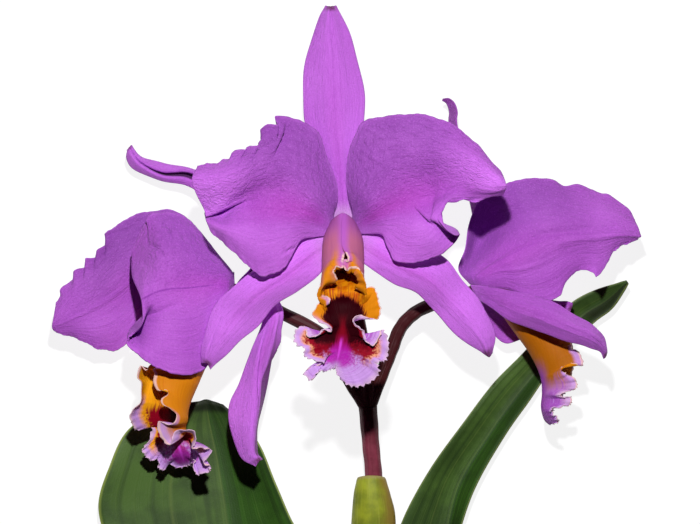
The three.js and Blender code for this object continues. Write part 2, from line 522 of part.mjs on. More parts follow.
const stem = [
  tube(PEDUNCLE, STEM_RADIUS, 16),
  tube(CENTER_PEDICEL, PEDICEL_RADIUS, 12),
  tube(LEFT_PEDICEL, PEDICEL_RADIUS, 14),
  tube(RIGHT_PEDICEL, PEDICEL_RADIUS, 14),
  ball(FORK, STEM_RADIUS + 0.4),
  ball([CENTER[0], CENTER[1], CENTER[2] - 1], RECEPTACLE_RADIUS),
  ball(LEFT, RECEPTACLE_RADIUS),
  ball(RIGHT, RECEPTACLE_RADIUS),
].map(toManifold).reduce((whole, branch) => whole.add(branch));
add('flower_stem', fromManifold(stem), stemColour());

const sheathSurface = rolledSurface(SHEATH, () => ({ out: 0, ahead: 0 }));
add('sheath', sheet(sheathSurface, 8, 12, SHEATH_THICKNESS), sheathColour(),
  new THREE.Matrix4().makeTranslation(...SHEATH_FOOT));

const leafWave = { height: 0.5, reach: 0.3, waves: 1.5, start: 0.2 };
add('left_leaf', sheet(wavedSurface(LEFT_LEAF, leafWave), 20, 8, LEAF_THICKNESS), leafColour());
add('right_leaf', sheet(wavedSurface(RIGHT_LEAF, leafWave), 24, 6, LEAF_THICKNESS), leafColour());

const bulbProfile = [[0, 0], [8, 0], [10.5, -2.5], [PSEUDOBULB_RADIUS, -12], [11.4, -24], [10.4, -31],
  [10, -PSEUDOBULB_LENGTH], [0, -PSEUDOBULB_LENGTH]].map(([r, y]) => new THREE.Vector2(r, y)).reverse();
add('pseudobulb', new THREE.LatheGeometry(bulbProfile, 20).translate(...PSEUDOBULB_TOP), bulbColour());

// The part's origin is the middle of its footprint on the surface that it lies on
growth.updateMatrixWorld(true);
const box = new THREE.Box3().setFromObject(growth, true);
const middle = box.getCenter(new THREE.Vector3());
growth.position.set(-middle.x, -middle.y, -box.min.z);

export default growth;
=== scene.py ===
"""A cattleya orchid: one cut flowering growth with three magenta blooms, lying on its back.

Sizes are millimetres in the growth's own drawing frame, in which each bloom has its centre. Every
petal, sepal, lip and leaf is a closed sheet drawn through a net of points from base to tip, then waved,
creased and veined by formulas. The meshes are written in metres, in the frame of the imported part.
"""

import math

import bpy
import numpy as np
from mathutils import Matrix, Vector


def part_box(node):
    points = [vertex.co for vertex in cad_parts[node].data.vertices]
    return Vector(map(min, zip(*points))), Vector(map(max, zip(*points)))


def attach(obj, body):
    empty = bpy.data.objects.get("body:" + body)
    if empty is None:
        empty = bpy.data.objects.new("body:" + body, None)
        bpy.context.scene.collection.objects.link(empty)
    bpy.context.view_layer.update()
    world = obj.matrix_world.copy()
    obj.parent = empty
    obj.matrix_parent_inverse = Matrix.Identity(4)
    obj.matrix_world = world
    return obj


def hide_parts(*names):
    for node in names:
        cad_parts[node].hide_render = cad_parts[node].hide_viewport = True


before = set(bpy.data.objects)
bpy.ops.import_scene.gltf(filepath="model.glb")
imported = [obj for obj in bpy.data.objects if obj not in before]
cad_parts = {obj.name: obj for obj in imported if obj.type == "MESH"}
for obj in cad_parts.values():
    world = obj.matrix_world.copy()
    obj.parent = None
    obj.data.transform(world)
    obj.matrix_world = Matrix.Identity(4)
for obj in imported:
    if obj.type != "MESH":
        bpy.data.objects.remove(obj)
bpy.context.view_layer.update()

MM = 0.001
TURN = 2 * math.pi

# The drawing frame lies where the pseudobulb's box says: its lathe axis and its top are known in both
# frames
PSEUDOBULB_TOP = np.array([7.5, -200.0, 12.0])
PSEUDOBULB_LENGTH = 32.0
bulb_low, bulb_high = (np.array(corner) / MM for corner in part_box("pseudobulb"))
ORIGIN = (bulb_low + bulb_high) / 2 - (PSEUDOBULB_TOP - np.array([0, PSEUDOBULB_LENGTH / 2, 0]))

# Centres of the blooms
CENTER = (-3.5, 15, 58)
LEFT = (-59, -14, 28)
RIGHT = (65, -14, 30)
CENTERS = {"center": CENTER, "left": LEFT, "right": RIGHT}

# Thicknesses
PETAL_THICKNESS = 0.8
SEPAL_THICKNESS = 0.9
LIP_THICKNESS = 0.7
LEAF_THICKNESS = 1.8
SHEATH_THICKNESS = 0.8

# A sheet thins to this share of its thickness at its rim, over this share of its width, and over the
# same share of its length divided by the end ratio
RIM_SHARE = 0.45
RIM_WIDTH = 0.06
END_RATIO = 3

# A sheet's middle stays this share of its thickness above the floor
REST_SHARE = 0.52


# ---- Curves, nets and sheets -------------------------------------------------------------------------


def smooth(value, low, high):
    """A smooth step from 0 at low to 1 at high: 3x^2 - 2x^3 of the clamped share x."""
    share = np.clip((value - low) / (high - low), 0, 1)
    return share * share * (3 - 2 * share)


def bump(value, middle, width):
    """A bell: e to the minus square of the distance from the middle over the width."""
    return np.exp(-(((value - middle) / width) ** 2))


def mound(s, t, middle, radii):
    """A bell over a sheet: e to the minus sum of the squares of both distances over their radii."""
    return np.exp(-(((s - middle[0]) / radii[0]) ** 2) - ((t - middle[1]) / radii[1]) ** 2)


def spline(points, along):
    """A smooth curve through points: in each span the cubic with Catmull-Rom slopes, its ends continued
    straight."""
    points = np.asarray(points, float)
    spans = len(points) - 1
    first = 2 * points[:1] - points[1:2]
    last = 2 * points[-1:] - points[-2:-1]
    padded = np.concatenate([first, points, last])
    index = np.minimum((along * spans).astype(int), spans - 1)
    f = (along * spans - index).reshape(-1, *[1] * (points.ndim - 1))
    a, b, c, d = (padded[index + k] for k in range(4))
    slope, next_slope, gap = (c - a) / 2, (d - b) / 2, c - b
    return b + slope * f + (3 * gap - 2 * slope - next_slope) * f**2 + (slope + next_slope - 2 * gap) * f**3


def net_surface(net, rows, columns):
    """The net's columns as curves from base to tip, and across them a curve from edge to edge at each
    step."""
    along = spline(net, np.linspace(0, 1, rows))
    return spline(along.transpose(1, 0, 2), np.linspace(0, 1, columns)).transpose(1, 0, 2)


def unit(vectors):
    """Each vector divided by its length."""
    return vectors / np.maximum(np.linalg.norm(vectors, axis=-1, keepdims=True), 1e-9)


def normals(grid):
    """The cross product of the steps along and across the grid, as unit vectors."""
    return unit(np.cross(np.gradient(grid, axis=0), np.gradient(grid, axis=1)))


def rumple(x, y, seed, waves=9, power=0.6):
    """Irregular relief between about -1 and 1: a sum of sines that run in random directions, slow ones
    stronger."""
    draw = np.random.default_rng(seed)
    angle = draw.uniform(0, TURN, waves)
    pitch = draw.uniform(0.6, 2.4, waves)
    phase = draw.uniform(0, TURN, waves)
    weight = pitch**-power
    total = sum(
        weight[k] * np.sin(TURN * pitch[k] * (x * math.cos(angle[k]) + y * math.sin(angle[k])) + phase[k])
        for k in range(waves)
    )
    return total / weight.sum() * 1.8


def sheet_share(grid):
    """The two coordinates of every point of a grid: the share along it and the share across it."""
    rows, columns = grid.shape[:2]
    return np.meshgrid(np.linspace(0, 1, rows), np.linspace(0, 1, columns), indexing="ij")


def write_mesh(name, vertices, faces, uv, slots, materials):
    """One smooth-shaded mesh object in metres. Faces is a list, with a material slot for each, and UV
    has a pair for each vertex."""
    mesh = bpy.data.meshes.new(name)
    mesh.from_pydata(((vertices + ORIGIN) * MM).tolist(), [], faces)
    for material in materials:
        mesh.materials.append(material)
    mesh.polygons.foreach_set("material_index", slots.astype(np.int32))
    mesh.polygons.foreach_set("use_smooth", np.ones(len(faces), bool))
    corners = np.empty(len(mesh.loops), np.int32)
    mesh.loops.foreach_get("vertex_index", corners)
    layer = mesh.uv_layers.new(name="sheet")
    layer.data.foreach_set("uv", uv[corners].astype(np.float32).ravel())
    mesh.update()
    piece = bpy.data.objects.new(name, mesh)
    bpy.context.scene.collection.objects.link(piece)
    return piece


def dress(piece, node):
    """The piece rides on the part's one body and stands for its node, whose part it hides."""
    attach(piece, "root")
    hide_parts(node)


def closed_sheet(name, grid, thickness, materials, reach=1.0):
    """A sheet of the given thickness round the grid: front and back at half the thickness along the
    normals, joined by a rim. The first material is on the front and the rim, the second on the back. UV
    is (along, across), where along ends at the given reach."""
    rows, columns = grid.shape[:2]
    s, t = sheet_share(grid)
    edge = np.minimum(np.minimum(s, 1 - s) * END_RATIO, np.minimum(t, 1 - t))
    half = thickness / 2 * (RIM_SHARE + (1 - RIM_SHARE) * smooth(edge, 0, RIM_WIDTH))[..., None]
    offset = normals(grid) * half
    vertices = np.concatenate([(grid + offset).reshape(-1, 3), (grid - offset).reshape(-1, 3)])
    count = rows * columns
    number = np.arange(count).reshape(rows, columns)
    a, b, c, d = number[:-1, :-1], number[1:, :-1], number[1:, 1:], number[:-1, 1:]
    front = np.stack([a, b, c, d], -1).reshape(-1, 4)
    back = front[:, ::-1] + count
    ring = np.concatenate([number[0, :-1], number[:-1, -1], number[-1, :0:-1], number[:0:-1, 0]])
    following = np.roll(ring, -1)
    rim = np.stack([ring, following, following + count, ring + count], -1)
    faces = np.concatenate([front, back, rim])
    slots = np.concatenate([np.zeros(len(front)), np.ones(len(back)), np.zeros(len(rim))])
    uv = np.tile(np.stack([s.ravel() * reach, t.ravel()], -1), (2, 1))
    return write_mesh(name, vertices, faces.tolist(), uv, slots, materials)


def above_floor(grid, thickness):
    """The grid with every point raised at least so far that a sheet of that thickness stays above the
    floor."""
    grid[..., 2] = np.maximum(grid[..., 2], thickness * REST_SHARE - ORIGIN[2])
    return grid


def placed(grid, frame_turns, center):
    """The grid turned by the rotation matrix and carried to the centre."""
    return grid @ frame_turns.T + np.array(center)


def rotation(axis, degrees):
    """The matrix that turns by so many degrees round the x, y or z axis."""
    cos, sin = math.cos(math.radians(degrees)), math.sin(math.radians(degrees))
    return np.array(
        {
            "x": [[1, 0, 0], [0, cos, -sin], [0, sin, cos]],
            "y": [[cos, 0, sin], [0, 1, 0], [-sin, 0, cos]],
            "z": [[cos, -sin, 0], [sin, cos, 0], [0, 0, 1]],
        }[axis]
    )


def bloom_turns(nod, turn, lean, tilt):
    """A bloom's frame: nodded round x, turned round y, leant round z, then tilted round x."""
    return rotation("x", tilt) @ rotation("z", lean) @ rotation("y", turn) @ rotation("x", nod)


# ---- Shader maths ------------------------------------------------------------------------------------


class Socket:
    """An output of a finish's nodes. Arithmetic on it adds Math nodes."""

    def __init__(self, finish, source):
        self.finish = finish
        self.source = source

    def math(self, operation, *values):
        return self.finish.node("ShaderNodeMath", {"operation": operation}, dict(enumerate(values)))

    def __add__(self, other):
        return self.math("ADD", self, other)

    __radd__ = __add__

    def __sub__(self, other):
        return self.math("SUBTRACT", self, other)

    def __rsub__(self, other):
        return self.math("SUBTRACT", other, self)

    def __mul__(self, other):
        return self.math("MULTIPLY", self, other)

    __rmul__ = __mul__

    def __abs__(self):
        return self.math("ABSOLUTE", self)

    def at_most(self, limit):
        return self.math("MINIMUM", self, limit)

    def step(self, low, high):
        """A smooth step from 0 at low to 1 at high."""
        ends = {"Value": self, "From Min": low, "From Max": high}
        return self.finish.node("ShaderNodeMapRange", {"interpolation_type": "SMOOTHSTEP"}, ends)

    def bell(self, middle, width):
        """1 at the middle, falling to 0 one width away on each side."""
        return abs(self - middle).step(width, 0.0)


class Finish:
    """A material under construction, with one method for its nodes and short names for the usual ones."""

    def __init__(self, name):
        self.material = bpy.data.materials.new(name)
        self.material.use_nodes = True
        self.tree = self.material.node_tree
        self.shader = self.tree.nodes["Principled BSDF"]

    def node(self, kind, settings=None, inputs=None, output=0):
        """A node of that kind: its settings first, then a value or a link for each of the sockets."""
        node = self.tree.nodes.new(kind)
        for key, value in (settings or {}).items():
            setattr(node, key, value)
        for key, value in (inputs or {}).items():
            self.feed(node.inputs[key], value)
        return Socket(self, node.outputs[output])

    def feed(self, target, value):
        """A link for a socket, and a plain value otherwise. A colour of three numbers becomes opaque."""
        if isinstance(value, Socket):
            self.tree.links.new(value.source, target)
        elif isinstance(value, tuple) and len(value) == 3 and len(target.default_value) == 4:
            target.default_value = (*value, 1)
        else:
            target.default_value = value

    def set(self, **values):
        """Sockets of the surface shader, with _ for a blank."""
        for key, value in values.items():
            self.feed(self.shader.inputs[key.replace("_", " ")], value)

    def place(self):
        return self.node("ShaderNodeTexCoord", output="Object")

    def sheet(self):
        """The two coordinates of a sheet: along it from base to tip, and across it."""
        pair = self.node("ShaderNodeUVMap", {"uv_map": "sheet"})
        split = self.node("ShaderNodeSeparateXYZ", inputs={0: pair})
        node = split.source.node
        return Socket(self, node.outputs[0]), Socket(self, node.outputs[1])

    def vector(self, x, y, z=0.0):
        return self.node("ShaderNodeCombineXYZ", inputs={0: x, 1: y, 2: z})

    def noise(self, vector, scale, detail=3.0, roughness=0.5, distortion=0.0):
        inputs = {"Vector": vector, "Scale": scale, "Detail": detail, "Roughness": roughness}
        return self.node("ShaderNodeTexNoise", inputs={**inputs, "Distortion": distortion})

    def mix(self, first, second, share):
        settings = {"data_type": "RGBA"}
        return self.node("ShaderNodeMix", settings, {0: share, 6: first, 7: second}, output=2)

    def coated(self, colour, *coats):
        """The colour with coats laid over it in this order, each (colour, share)."""
        for coat, share in coats:
            colour = self.mix(colour, coat, share)
        return colour

    def relief(self, height, distance, strength=1.0):
        inputs = {"Height": height, "Distance": distance, "Strength": strength}
        return self.node("ShaderNodeBump", inputs=inputs)


def srgb(red, green, blue):
    """A screen colour, 0 to 255, as the linear colour that shaders take."""

    def linear(value):
        value /= 255
        return value / 12.92 if value <= 0.04045 else ((value + 0.055) / 1.055) ** 2.4

    return linear(red), linear(green), linear(blue)


# ---- Colours -----------------------------------------------------------------------------------------

VIOLET = srgb(169, 82, 192)
VIOLET_PALE = srgb(190, 106, 213)
VIOLET_BRIGHT = srgb(218, 122, 244)
VIOLET_DEEP = srgb(141, 57, 166)
MIDRIB_GLOW = srgb(172, 54, 178)
# Painted shade: a darker bluish violet for the upper half of petals
VIOLET_PAINTED_SHADE = srgb(132, 66, 157)
TIP_BROWN = srgb(96, 44, 66)
CLAW_PALE = srgb(216, 172, 222)
ORANGE = srgb(208, 124, 12)
ORANGE_DEEP = srgb(182, 90, 8)
ORANGE_CREAM = srgb(226, 150, 112)
YELLOW = srgb(216, 134, 12)
THROAT_ORANGE = srgb(190, 92, 6)
MAROON = srgb(44, 0, 8)
CRIMSON = srgb(138, 8, 32)
STREAK_RED = srgb(150, 12, 84)
MAGENTA = srgb(172, 26, 164)
MAGENTA_BRIGHT = srgb(214, 70, 218)
LILAC = srgb(194, 146, 218)
LIP_VIOLET = srgb(156, 74, 176)
# Painted shade laid over a lip's orange
LIP_PAINTED_SHADE = srgb(124, 58, 2)
FLANK_YELLOW = srgb(236, 158, 22)
CREAM_RIM = srgb(226, 186, 180)
LILAC_RIM = srgb(214, 178, 206)
TUBE_PINK = srgb(180, 98, 134)
TUBE_DUSK = srgb(160, 82, 126)
TUBE_BASE = srgb(160, 80, 160)
# Painted shade for the furrow of a grooved sepal
GROOVE_PAINTED_SHADE = srgb(80, 18, 92)
# Purple of a curled back, also laid on as painted shade on a folded margin
CURL_AND_FOLD_SHADE = srgb(112, 44, 120)
SEAM = srgb(176, 88, 188)
# Leaf greens. The first two are one green lit and in painted shade, for the two halves; the folded one is
# painted shade and the darkest one a painted shadow on the tip
LEAF_LIT_HALF = srgb(70, 98, 40)
LEAF_SHADED_HALF = srgb(50, 86, 26)
LEAF_DARK = srgb(32, 50, 22)
LEAF_FOLD_SHADE = srgb(38, 38, 26)
LEAF_SHADOW = srgb(14, 20, 10)
LEAF_EDGE = srgb(150, 166, 84)
STEM_DARK = srgb(54, 14, 14)
STEM_RED = srgb(102, 38, 52)
STEM_ROSE = srgb(140, 58, 78)
STEM_LINE = srgb(156, 78, 82)
STEM_PORE = srgb(150, 96, 94)
SHEATH_GREEN = srgb(150, 158, 38)
SHEATH_OLIVE = srgb(106, 116, 28)
SHEATH_RIB = srgb(170, 172, 76)
SHEATH_DRY = srgb(150, 112, 52)
SHEATH_TIP = srgb(150, 138, 84)
BULB_GREEN = srgb(98, 124, 50)
BULB_LIGHT = srgb(132, 150, 74)
BULB_LINE = srgb(160, 156, 98)
BULB_CUT = srgb(196, 196, 150)
COLUMN_LILAC = srgb(236, 214, 236)
COLUMN_TIP = srgb(196, 120, 196)

# The pale claw of a blade: where it fades along the blade, and its strength
PALE_CLAW = ((0.13, 0.0), 0.1)

# The stem turns dark between these places along the part's Y axis, in metres
STEM_DARKENS = (-0.05, -0.015)


def petal_finish(
    name,
    blush=0.3,
    painted_upper_shade=(0.0, 0.3),
    claw=PALE_CLAW,
    bright=(0.3, 0.3, 0.0),
    midrib=0.0,
    brown=0.0,
    crinkle=0.5,
    groove_shade=0.0,
    deep=0.0,
    fold_shade_strength=0.0,
):
    """Violet tissue: a deeper glow along the midrib, fine veins from base to tip, soft clouds and a
    fine grain whose paler dots are partly painted sparkle. Blush is the strength of the glow, the
    painted upper shade that of the painted shade, darker and bluish, on the upper half, with the share
    across where it ends, claw of the pale base, bright of the paler violet over all, of the painted
    highlight at the tip and of the painted light on the lower half, midrib of its dark line, brown of the
    spot on a sepal's tip, crinkle of the crumpled relief, the groove shade of the painted shade in a
    furrow that narrows toward the tip, deep of the purple of a curled back, and the fold shade strength
    of the painted shade on a margin that is folded back."""
    finish = Finish(name)
    s, t = finish.sheet()
    place = finish.place()
    clouds = finish.noise(place, 38.0, 2.0)
    grain = finish.noise(place, 1500.0, 2.0, 0.7)
    veins = finish.noise(finish.vector(s * 2.5, t * 46.0), 1.0, 4.0, 0.62)
    fine_veins = finish.noise(finish.vector(s * 9.0, t * 120.0), 1.0, 2.0, 0.6)
    side = abs(t - 0.5)
    glow = side.step(0.22, 0.0) * s.step(0.02, 0.2) * s.step(0.9, 0.3)
    # Painted shade over the upper half, where the sheet leans away from the lamp
    painted_shade = (t + (clouds - 0.5) * 0.4).step(painted_upper_shade[1], 0.1) * s.step(0.95, 0.6)
    # Painted highlight toward the tip
    tip = s.step(0.62, 0.95) * t.bell(0.36, 0.3)
    line = (t + (clouds - 0.5) * 0.03).bell(0.5, 0.012) * s.step(0.15, 0.3)
    # Painted shade in the furrow of a grooved sepal: a dark band that narrows toward the tip
    groove_shade_width = (1.0 - s) * 0.45 + 0.03
    # Painted shade on the strip of margin that is folded back
    folded_shade = (t + (clouds - 0.5) * 0.06).step(0.64, 0.7)
    folded_shade = folded_shade * s.step(0.3, 0.4) * s.step(0.97, 0.9)
    spot = (s + (grain - 0.5) * 0.02).step(0.93, 0.975) * t.bell(0.55, 0.6)
    colour = finish.coated(
        VIOLET,
        (VIOLET_PALE, clouds.step(0.35, 0.75) * 0.5),
        (VIOLET_BRIGHT, bright[0]),
        (VIOLET_DEEP, veins.step(0.5, 0.75) * 0.4),
        (VIOLET_DEEP, fine_veins.step(0.5, 0.7) * 0.25),
        (MIDRIB_GLOW, glow * blush),
        (VIOLET_PAINTED_SHADE, painted_shade * painted_upper_shade[0]),
        # Painted highlight at the tip
        (VIOLET_BRIGHT, tip * bright[1]),
        (VIOLET_DEEP, line * midrib),
        # Painted light: the lower half paler
        (VIOLET_BRIGHT, (t + (clouds - 0.5) * 0.2).step(0.6, 0.82) * bright[2]),
        (CLAW_PALE, s.step(*claw[0]) * claw[1]),
        # Painted shade in the furrow
        (GROOVE_PAINTED_SHADE, side.step(groove_shade_width, groove_shade_width * 0.75) * groove_shade),
        (CURL_AND_FOLD_SHADE, deep),
        # Painted shade on the folded margin
        (CURL_AND_FOLD_SHADE, folded_shade * fold_shade_strength),
        (TIP_BROWN, spot * brown),
        # Fine grain: its paler dots are partly painted sparkle, its darker dots the tissue's own grain
        (VIOLET_BRIGHT, grain.step(0.52, 0.72) * 0.3),
        (VIOLET_DEEP, grain.step(0.48, 0.3) * 0.3),
        (VIOLET_PALE, side.step(0.47, 0.5) * 0.3),
    )
    crinkles = finish.noise(finish.vector(s * 24.0, t * 30.0), 1.0, 3.0, 0.6, 1.4)
    crumple = t.step(0.85, 0.3) * crinkle + 0.3
    height = veins * 0.5 + fine_veins * 0.25 + grain * 0.2 + crinkles * crumple
    finish.set(Base_Color=colour, Roughness=0.5 + 0.12 * grain, Normal=finish.relief(height, 0.0009, 0.8))
    finish.set(Subsurface_Weight=0.03, Subsurface_Radius=(1.0, 0.35, 0.8), Subsurface_Scale=0.0012)
    finish.set(Specular_IOR_Level=0.12, Sheen_Weight=0.04, Sheen_Roughness=0.5)
    return finish.material


def lip_inner_finish(name, bloom):
    """The face that the column looks at: a striped orange throat with painted shade far inside, a maroon
    middle with a feathered start that spreads to the sides, crimson speckles and pale orange round it, a
    magenta streak to the apex and a lilac margin."""
    finish = Finish(name)
    s, t = finish.sheet()
    place = finish.place()
    side = abs(t * 2.0 - 1.0)
    start, spread, reach = bloom["dark"]
    feather = finish.noise(finish.vector(s * 7.0, t * 46.0), 1.0, 4.0, 0.7)
    blotch = finish.noise(place, 260.0, 3.0, 0.65)
    speckle = finish.noise(place, 900.0, 2.5, 0.65)
    stripes = finish.noise(finish.vector(s * 1.4, t * 52.0), 1.0, 2.0).step(0.5, 0.62)
    # How far a point lies from the middle lobe's margin, at its sides and at its apex
    across, ahead = 1.0 - side, (1.0 - s) * 2.2
    inset = across.at_most(ahead) + (blotch - 0.5) * 0.16
    lobe = s.step(*bloom["lobe_from"])
    limit = s.step(0.7, 0.77) * 0.1 + reach
    begun = (s - side * spread + (feather - 0.5) * 0.12).step(start - 0.02, start + 0.02)
    inside = (inset + (speckle - 0.5) * 0.35 - limit).step(-0.1, 0.02)
    free = 1.0 - lobe
    dark = (inset + (speckle - 0.5) * 0.2 - limit).step(*bloom["core"])
    middle = (side + (feather - 0.5) * 0.2).step(0.24, 0.02)
    # The lilac apex, with speckles and with the magenta streak that fans out into it
    apex = (s + (blotch - 0.5) * 0.1).step(*bloom["apex"])
    near_middle = (side + (blotch - 0.5) * 0.4).step(0.75, 0.35)
    dots = speckle.step(0.44, 0.58) * near_middle * apex * s.step(0.97, 0.9)
    fanned = feather.step(0.5, 0.66) * apex * inset.step(0.02, 0.12)
    spots = speckle.step(0.46, 0.6) * (s + (blotch - 0.5) * 0.06).bell(0.86, 0.06)
    fan = s.step(0.78, 0.92) * 0.38 + 0.05
    streak = (side + (feather - 0.5) * 0.3 - fan).step(0.14, -0.06) * s.step(0.74, 0.82)
    glow = finish.mix(STREAK_RED, MAGENTA, s.step(0.8, 0.88))
    line = (side + (feather - 0.5) * 0.08).step(0.07, 0.0) * s.step(0.77, 0.83)
    rim = side.step(0.97, 0.985)
    band = (side + (blotch - 0.5) * 0.05).step(0.84, 0.9) * s.bell(0.69, 0.06)
    colour = finish.coated(
        YELLOW,
        (THROAT_ORANGE, blotch.step(0.35, 0.65)),
        (CRIMSON, stripes * s.step(start - 0.14, start) * 0.75),
        (bloom["flank"], side.step(0.4, 0.7)),
        # Painted shade far inside the tube, in maroon
        (MAROON, (s + (feather - 0.5) * 0.05).step(0.25, 0.2) * 0.85),
        (bloom["pale"], lobe),
        (LILAC, inset.step(*bloom["margin"]) * lobe),
        (CRIMSON, begun * (inside + free).at_most(1.0)),
        (MAROON, begun * (dark + free).at_most(1.0)),
        (CRIMSON, middle * s.step(0.56, 0.74) * 0.75),
        (LILAC, apex),
        (MAGENTA, dots * 0.75),
        (LIP_VIOLET, fanned * 0.45),
        (LILAC_RIM, inset.step(0.1, 0.0) * lobe * 0.6),
        (bloom["speckle"], spots * side.bell(0.5, 0.35) * 0.8),
        (glow, streak * s.step(1.0, 0.93) * 0.9),
        (MAGENTA_BRIGHT, line * s.step(0.98, 0.9) * 0.85),
        (CREAM_RIM, rim * s.step(0.3, 0.38) * s.step(0.66, 0.6)),
        (LILAC_RIM, (rim * lobe * 0.6 + band).at_most(0.9)),
    )
    height = finish.noise(finish.vector(s * 4.0, t * 60.0), 1.0, 3.0)
    finish.set(Base_Color=colour, Roughness=0.45 + 0.2 * speckle, Normal=finish.relief(height, 0.0006, 0.6))
    finish.set(Specular_IOR_Level=0.03)
    return finish.material


def lip_outer_finish(name, bloom):
    """The tube's outside: pinkish violet from the base with a magenta seam, orange toward the throat with
    painted shade over it where its strength is set, violet along the keel and under the middle lobe,
    lilac on the margins."""
    finish = Finish(name)
    s, t = finish.sheet()
    place = finish.place()
    side = abs(t * 2.0 - 1.0)
    clouds = finish.noise(place, 90.0, 3.0)
    veins = finish.noise(finish.vector(s * 3.0, t * 60.0), 1.0, 3.0, 0.6)
    low, high, inner = bloom["orange_from"]
    near_seam = side.step(inner, inner + 0.25)
    orange = (s + near_seam * 0.16 + (clouds - 0.5) * 0.14 + (veins - 0.5) * 0.08).step(low, high)
    lobe = (s + (veins - 0.5) * 0.16 + (side - 0.6) * 0.1).step(*bloom["lilac_from"])
    blotch = finish.noise(place, 320.0, 3.0, 0.65)
    keel = (side + (veins - 0.5) * 0.2).step(0.42, 0.14) * s.step(*bloom["keel_from"])
    seam = side.step(0.86, 0.97) * s.step(high, low)
    edge = side.step(0.84, 0.92) * s.step(*bloom["edge_from"])
    pale = side.step(0.7, 0.88) * s.bell(0.68, 0.12)
    rim = side.step(0.955, 0.98) * s.step(0.29, 0.33)
    joined = s.bell(0.387, 0.02) * bloom["joined"]
    colour = finish.coated(
        TUBE_PINK,
        (TUBE_DUSK, veins.step(0.45, 0.75) * 0.5),
        (TUBE_BASE, (s + (veins - 0.5) * 0.06).step(0.2, 0.06) * 0.8),
        (ORANGE, orange),
        (ORANGE_DEEP, veins.step(0.5, 0.8) * orange * 0.5),
        # Painted shade: the orange darkened where the sepal shades the lip
        (LIP_PAINTED_SHADE, orange * bloom["painted_shade"]),
        (LILAC, lobe),
        (LIP_VIOLET, lobe * veins.step(0.3, 0.55) * 0.9),
        (LIP_VIOLET, lobe * blotch.step(0.42, 0.6) * 0.7),
        (LIP_VIOLET, keel * bloom["keel"]),
        (SEAM, seam * 0.9),
        (LILAC, edge * 0.85),
        (LILAC_RIM, pale * 0.7),
        (CREAM_RIM, rim * (1.0 - joined) * 0.85),
    )
    finish.set(Base_Color=colour, Roughness=0.5 + 0.15 * clouds, Normal=finish.relief(veins, 0.0005, 0.6))
    finish.set(Subsurface_Weight=0.05, Subsurface_Radius=(1.0, 0.4, 0.4), Subsurface_Scale=0.001)
    finish.set(Specular_IOR_Level=0.08)
    return finish.material


def leaf_finish(name, folded_shade, rib, tip, edge):
    """Leathery green: fine lines and dark streaks along the leaf, clouds, a pale midrib and an edge of
    yellowish green, over one green lit on the left half and in painted shade on the right half. Folded
    shade is the strength of the painted shade on the right half near the tip and over the leaf's end;
    rib, tip and edge are the strengths of the pale line, the painted shadow on the tip and the edge."""
    finish = Finish(name)
    s, t = finish.sheet()
    place = finish.place()
    lines = finish.noise(finish.vector(s * 1.5, t * 90.0), 1.0, 3.0, 0.6)
    clouds = finish.noise(place, 30.0, 4.0, 0.6)
    pores = finish.noise(place, 1600.0, 2.0, 0.7)
    side = abs(t - 0.5)
    streaks = finish.noise(finish.vector(s * 0.7, t * 14.0), 1.0, 2.0)
    colour = finish.coated(
        # Painted light and shade: the base green is the lit left half, the next coat the right half in
        # shade
        LEAF_LIT_HALF,
        (LEAF_SHADED_HALF, t.step(0.49, 0.52)),
        (LEAF_DARK, clouds.step(0.38, 0.62) * 0.6),
        (LEAF_EDGE, lines.step(0.55, 0.8) * 0.14),
        # Painted shade: the folded right half darker near the tip, and the leaf's end darker over all
        (LEAF_FOLD_SHADE, t.step(0.46, 0.52) * s.step(0.78, 0.84) * folded_shade),
        (LEAF_DARK, s.step(0.76, 0.9) * folded_shade * 0.6),
        (LEAF_EDGE, side.step(0.012, 0.0) * rib),
        (LEAF_EDGE, (t + (clouds - 0.5) * 0.01).bell(0.27, 0.012) * 0.12),
        (LEAF_DARK, streaks.step(0.48, 0.62) * 0.45),
        (LEAF_EDGE, side.step(0.487, 0.498) * edge),
        # Painted shadow on the tip of the leaf
        (LEAF_SHADOW, (s + (clouds - 0.5) * 0.06).step(0.93, 0.965) * tip),
    )
    finish.set(Base_Color=colour, Roughness=0.42 + 0.16 * pores)
    finish.set(Normal=finish.relief(lines * 0.6 + pores * 0.4, 0.0006, 0.5), Specular_IOR_Level=0.2)
    return finish.material


def stem_finish(name):
    """Purplish red skin with fine lines along it and pale pores, darker from a little below the fork
    upward."""
    finish = Finish(name)
    s, t = finish.sheet()
    place = finish.place()
    clouds = finish.noise(place, 60.0, 4.0, 0.6)
    lines = finish.noise(finish.vector(s * 6.0, t * 30.0), 1.0, 3.0)
    pores = finish.noise(place, 900.0, 2.0, 0.6)
    height = finish.node("ShaderNodeSeparateXYZ", inputs={0: place}, output=1)
    colour = finish.coated(
        STEM_RED,
        (STEM_ROSE, clouds.step(0.35, 0.7)),
        (STEM_LINE, lines.step(0.55, 0.8) * 0.5),
        (STEM_PORE, pores.step(0.66, 0.78) * 0.35),
        (STEM_DARK, height.step(*STEM_DARKENS) * 0.9),
    )
    finish.set(Base_Color=colour, Roughness=0.42 + 0.15 * lines, Normal=finish.relief(lines, 0.0006, 0.5))
    finish.set(Specular_IOR_Level=0.15)
    return finish.material


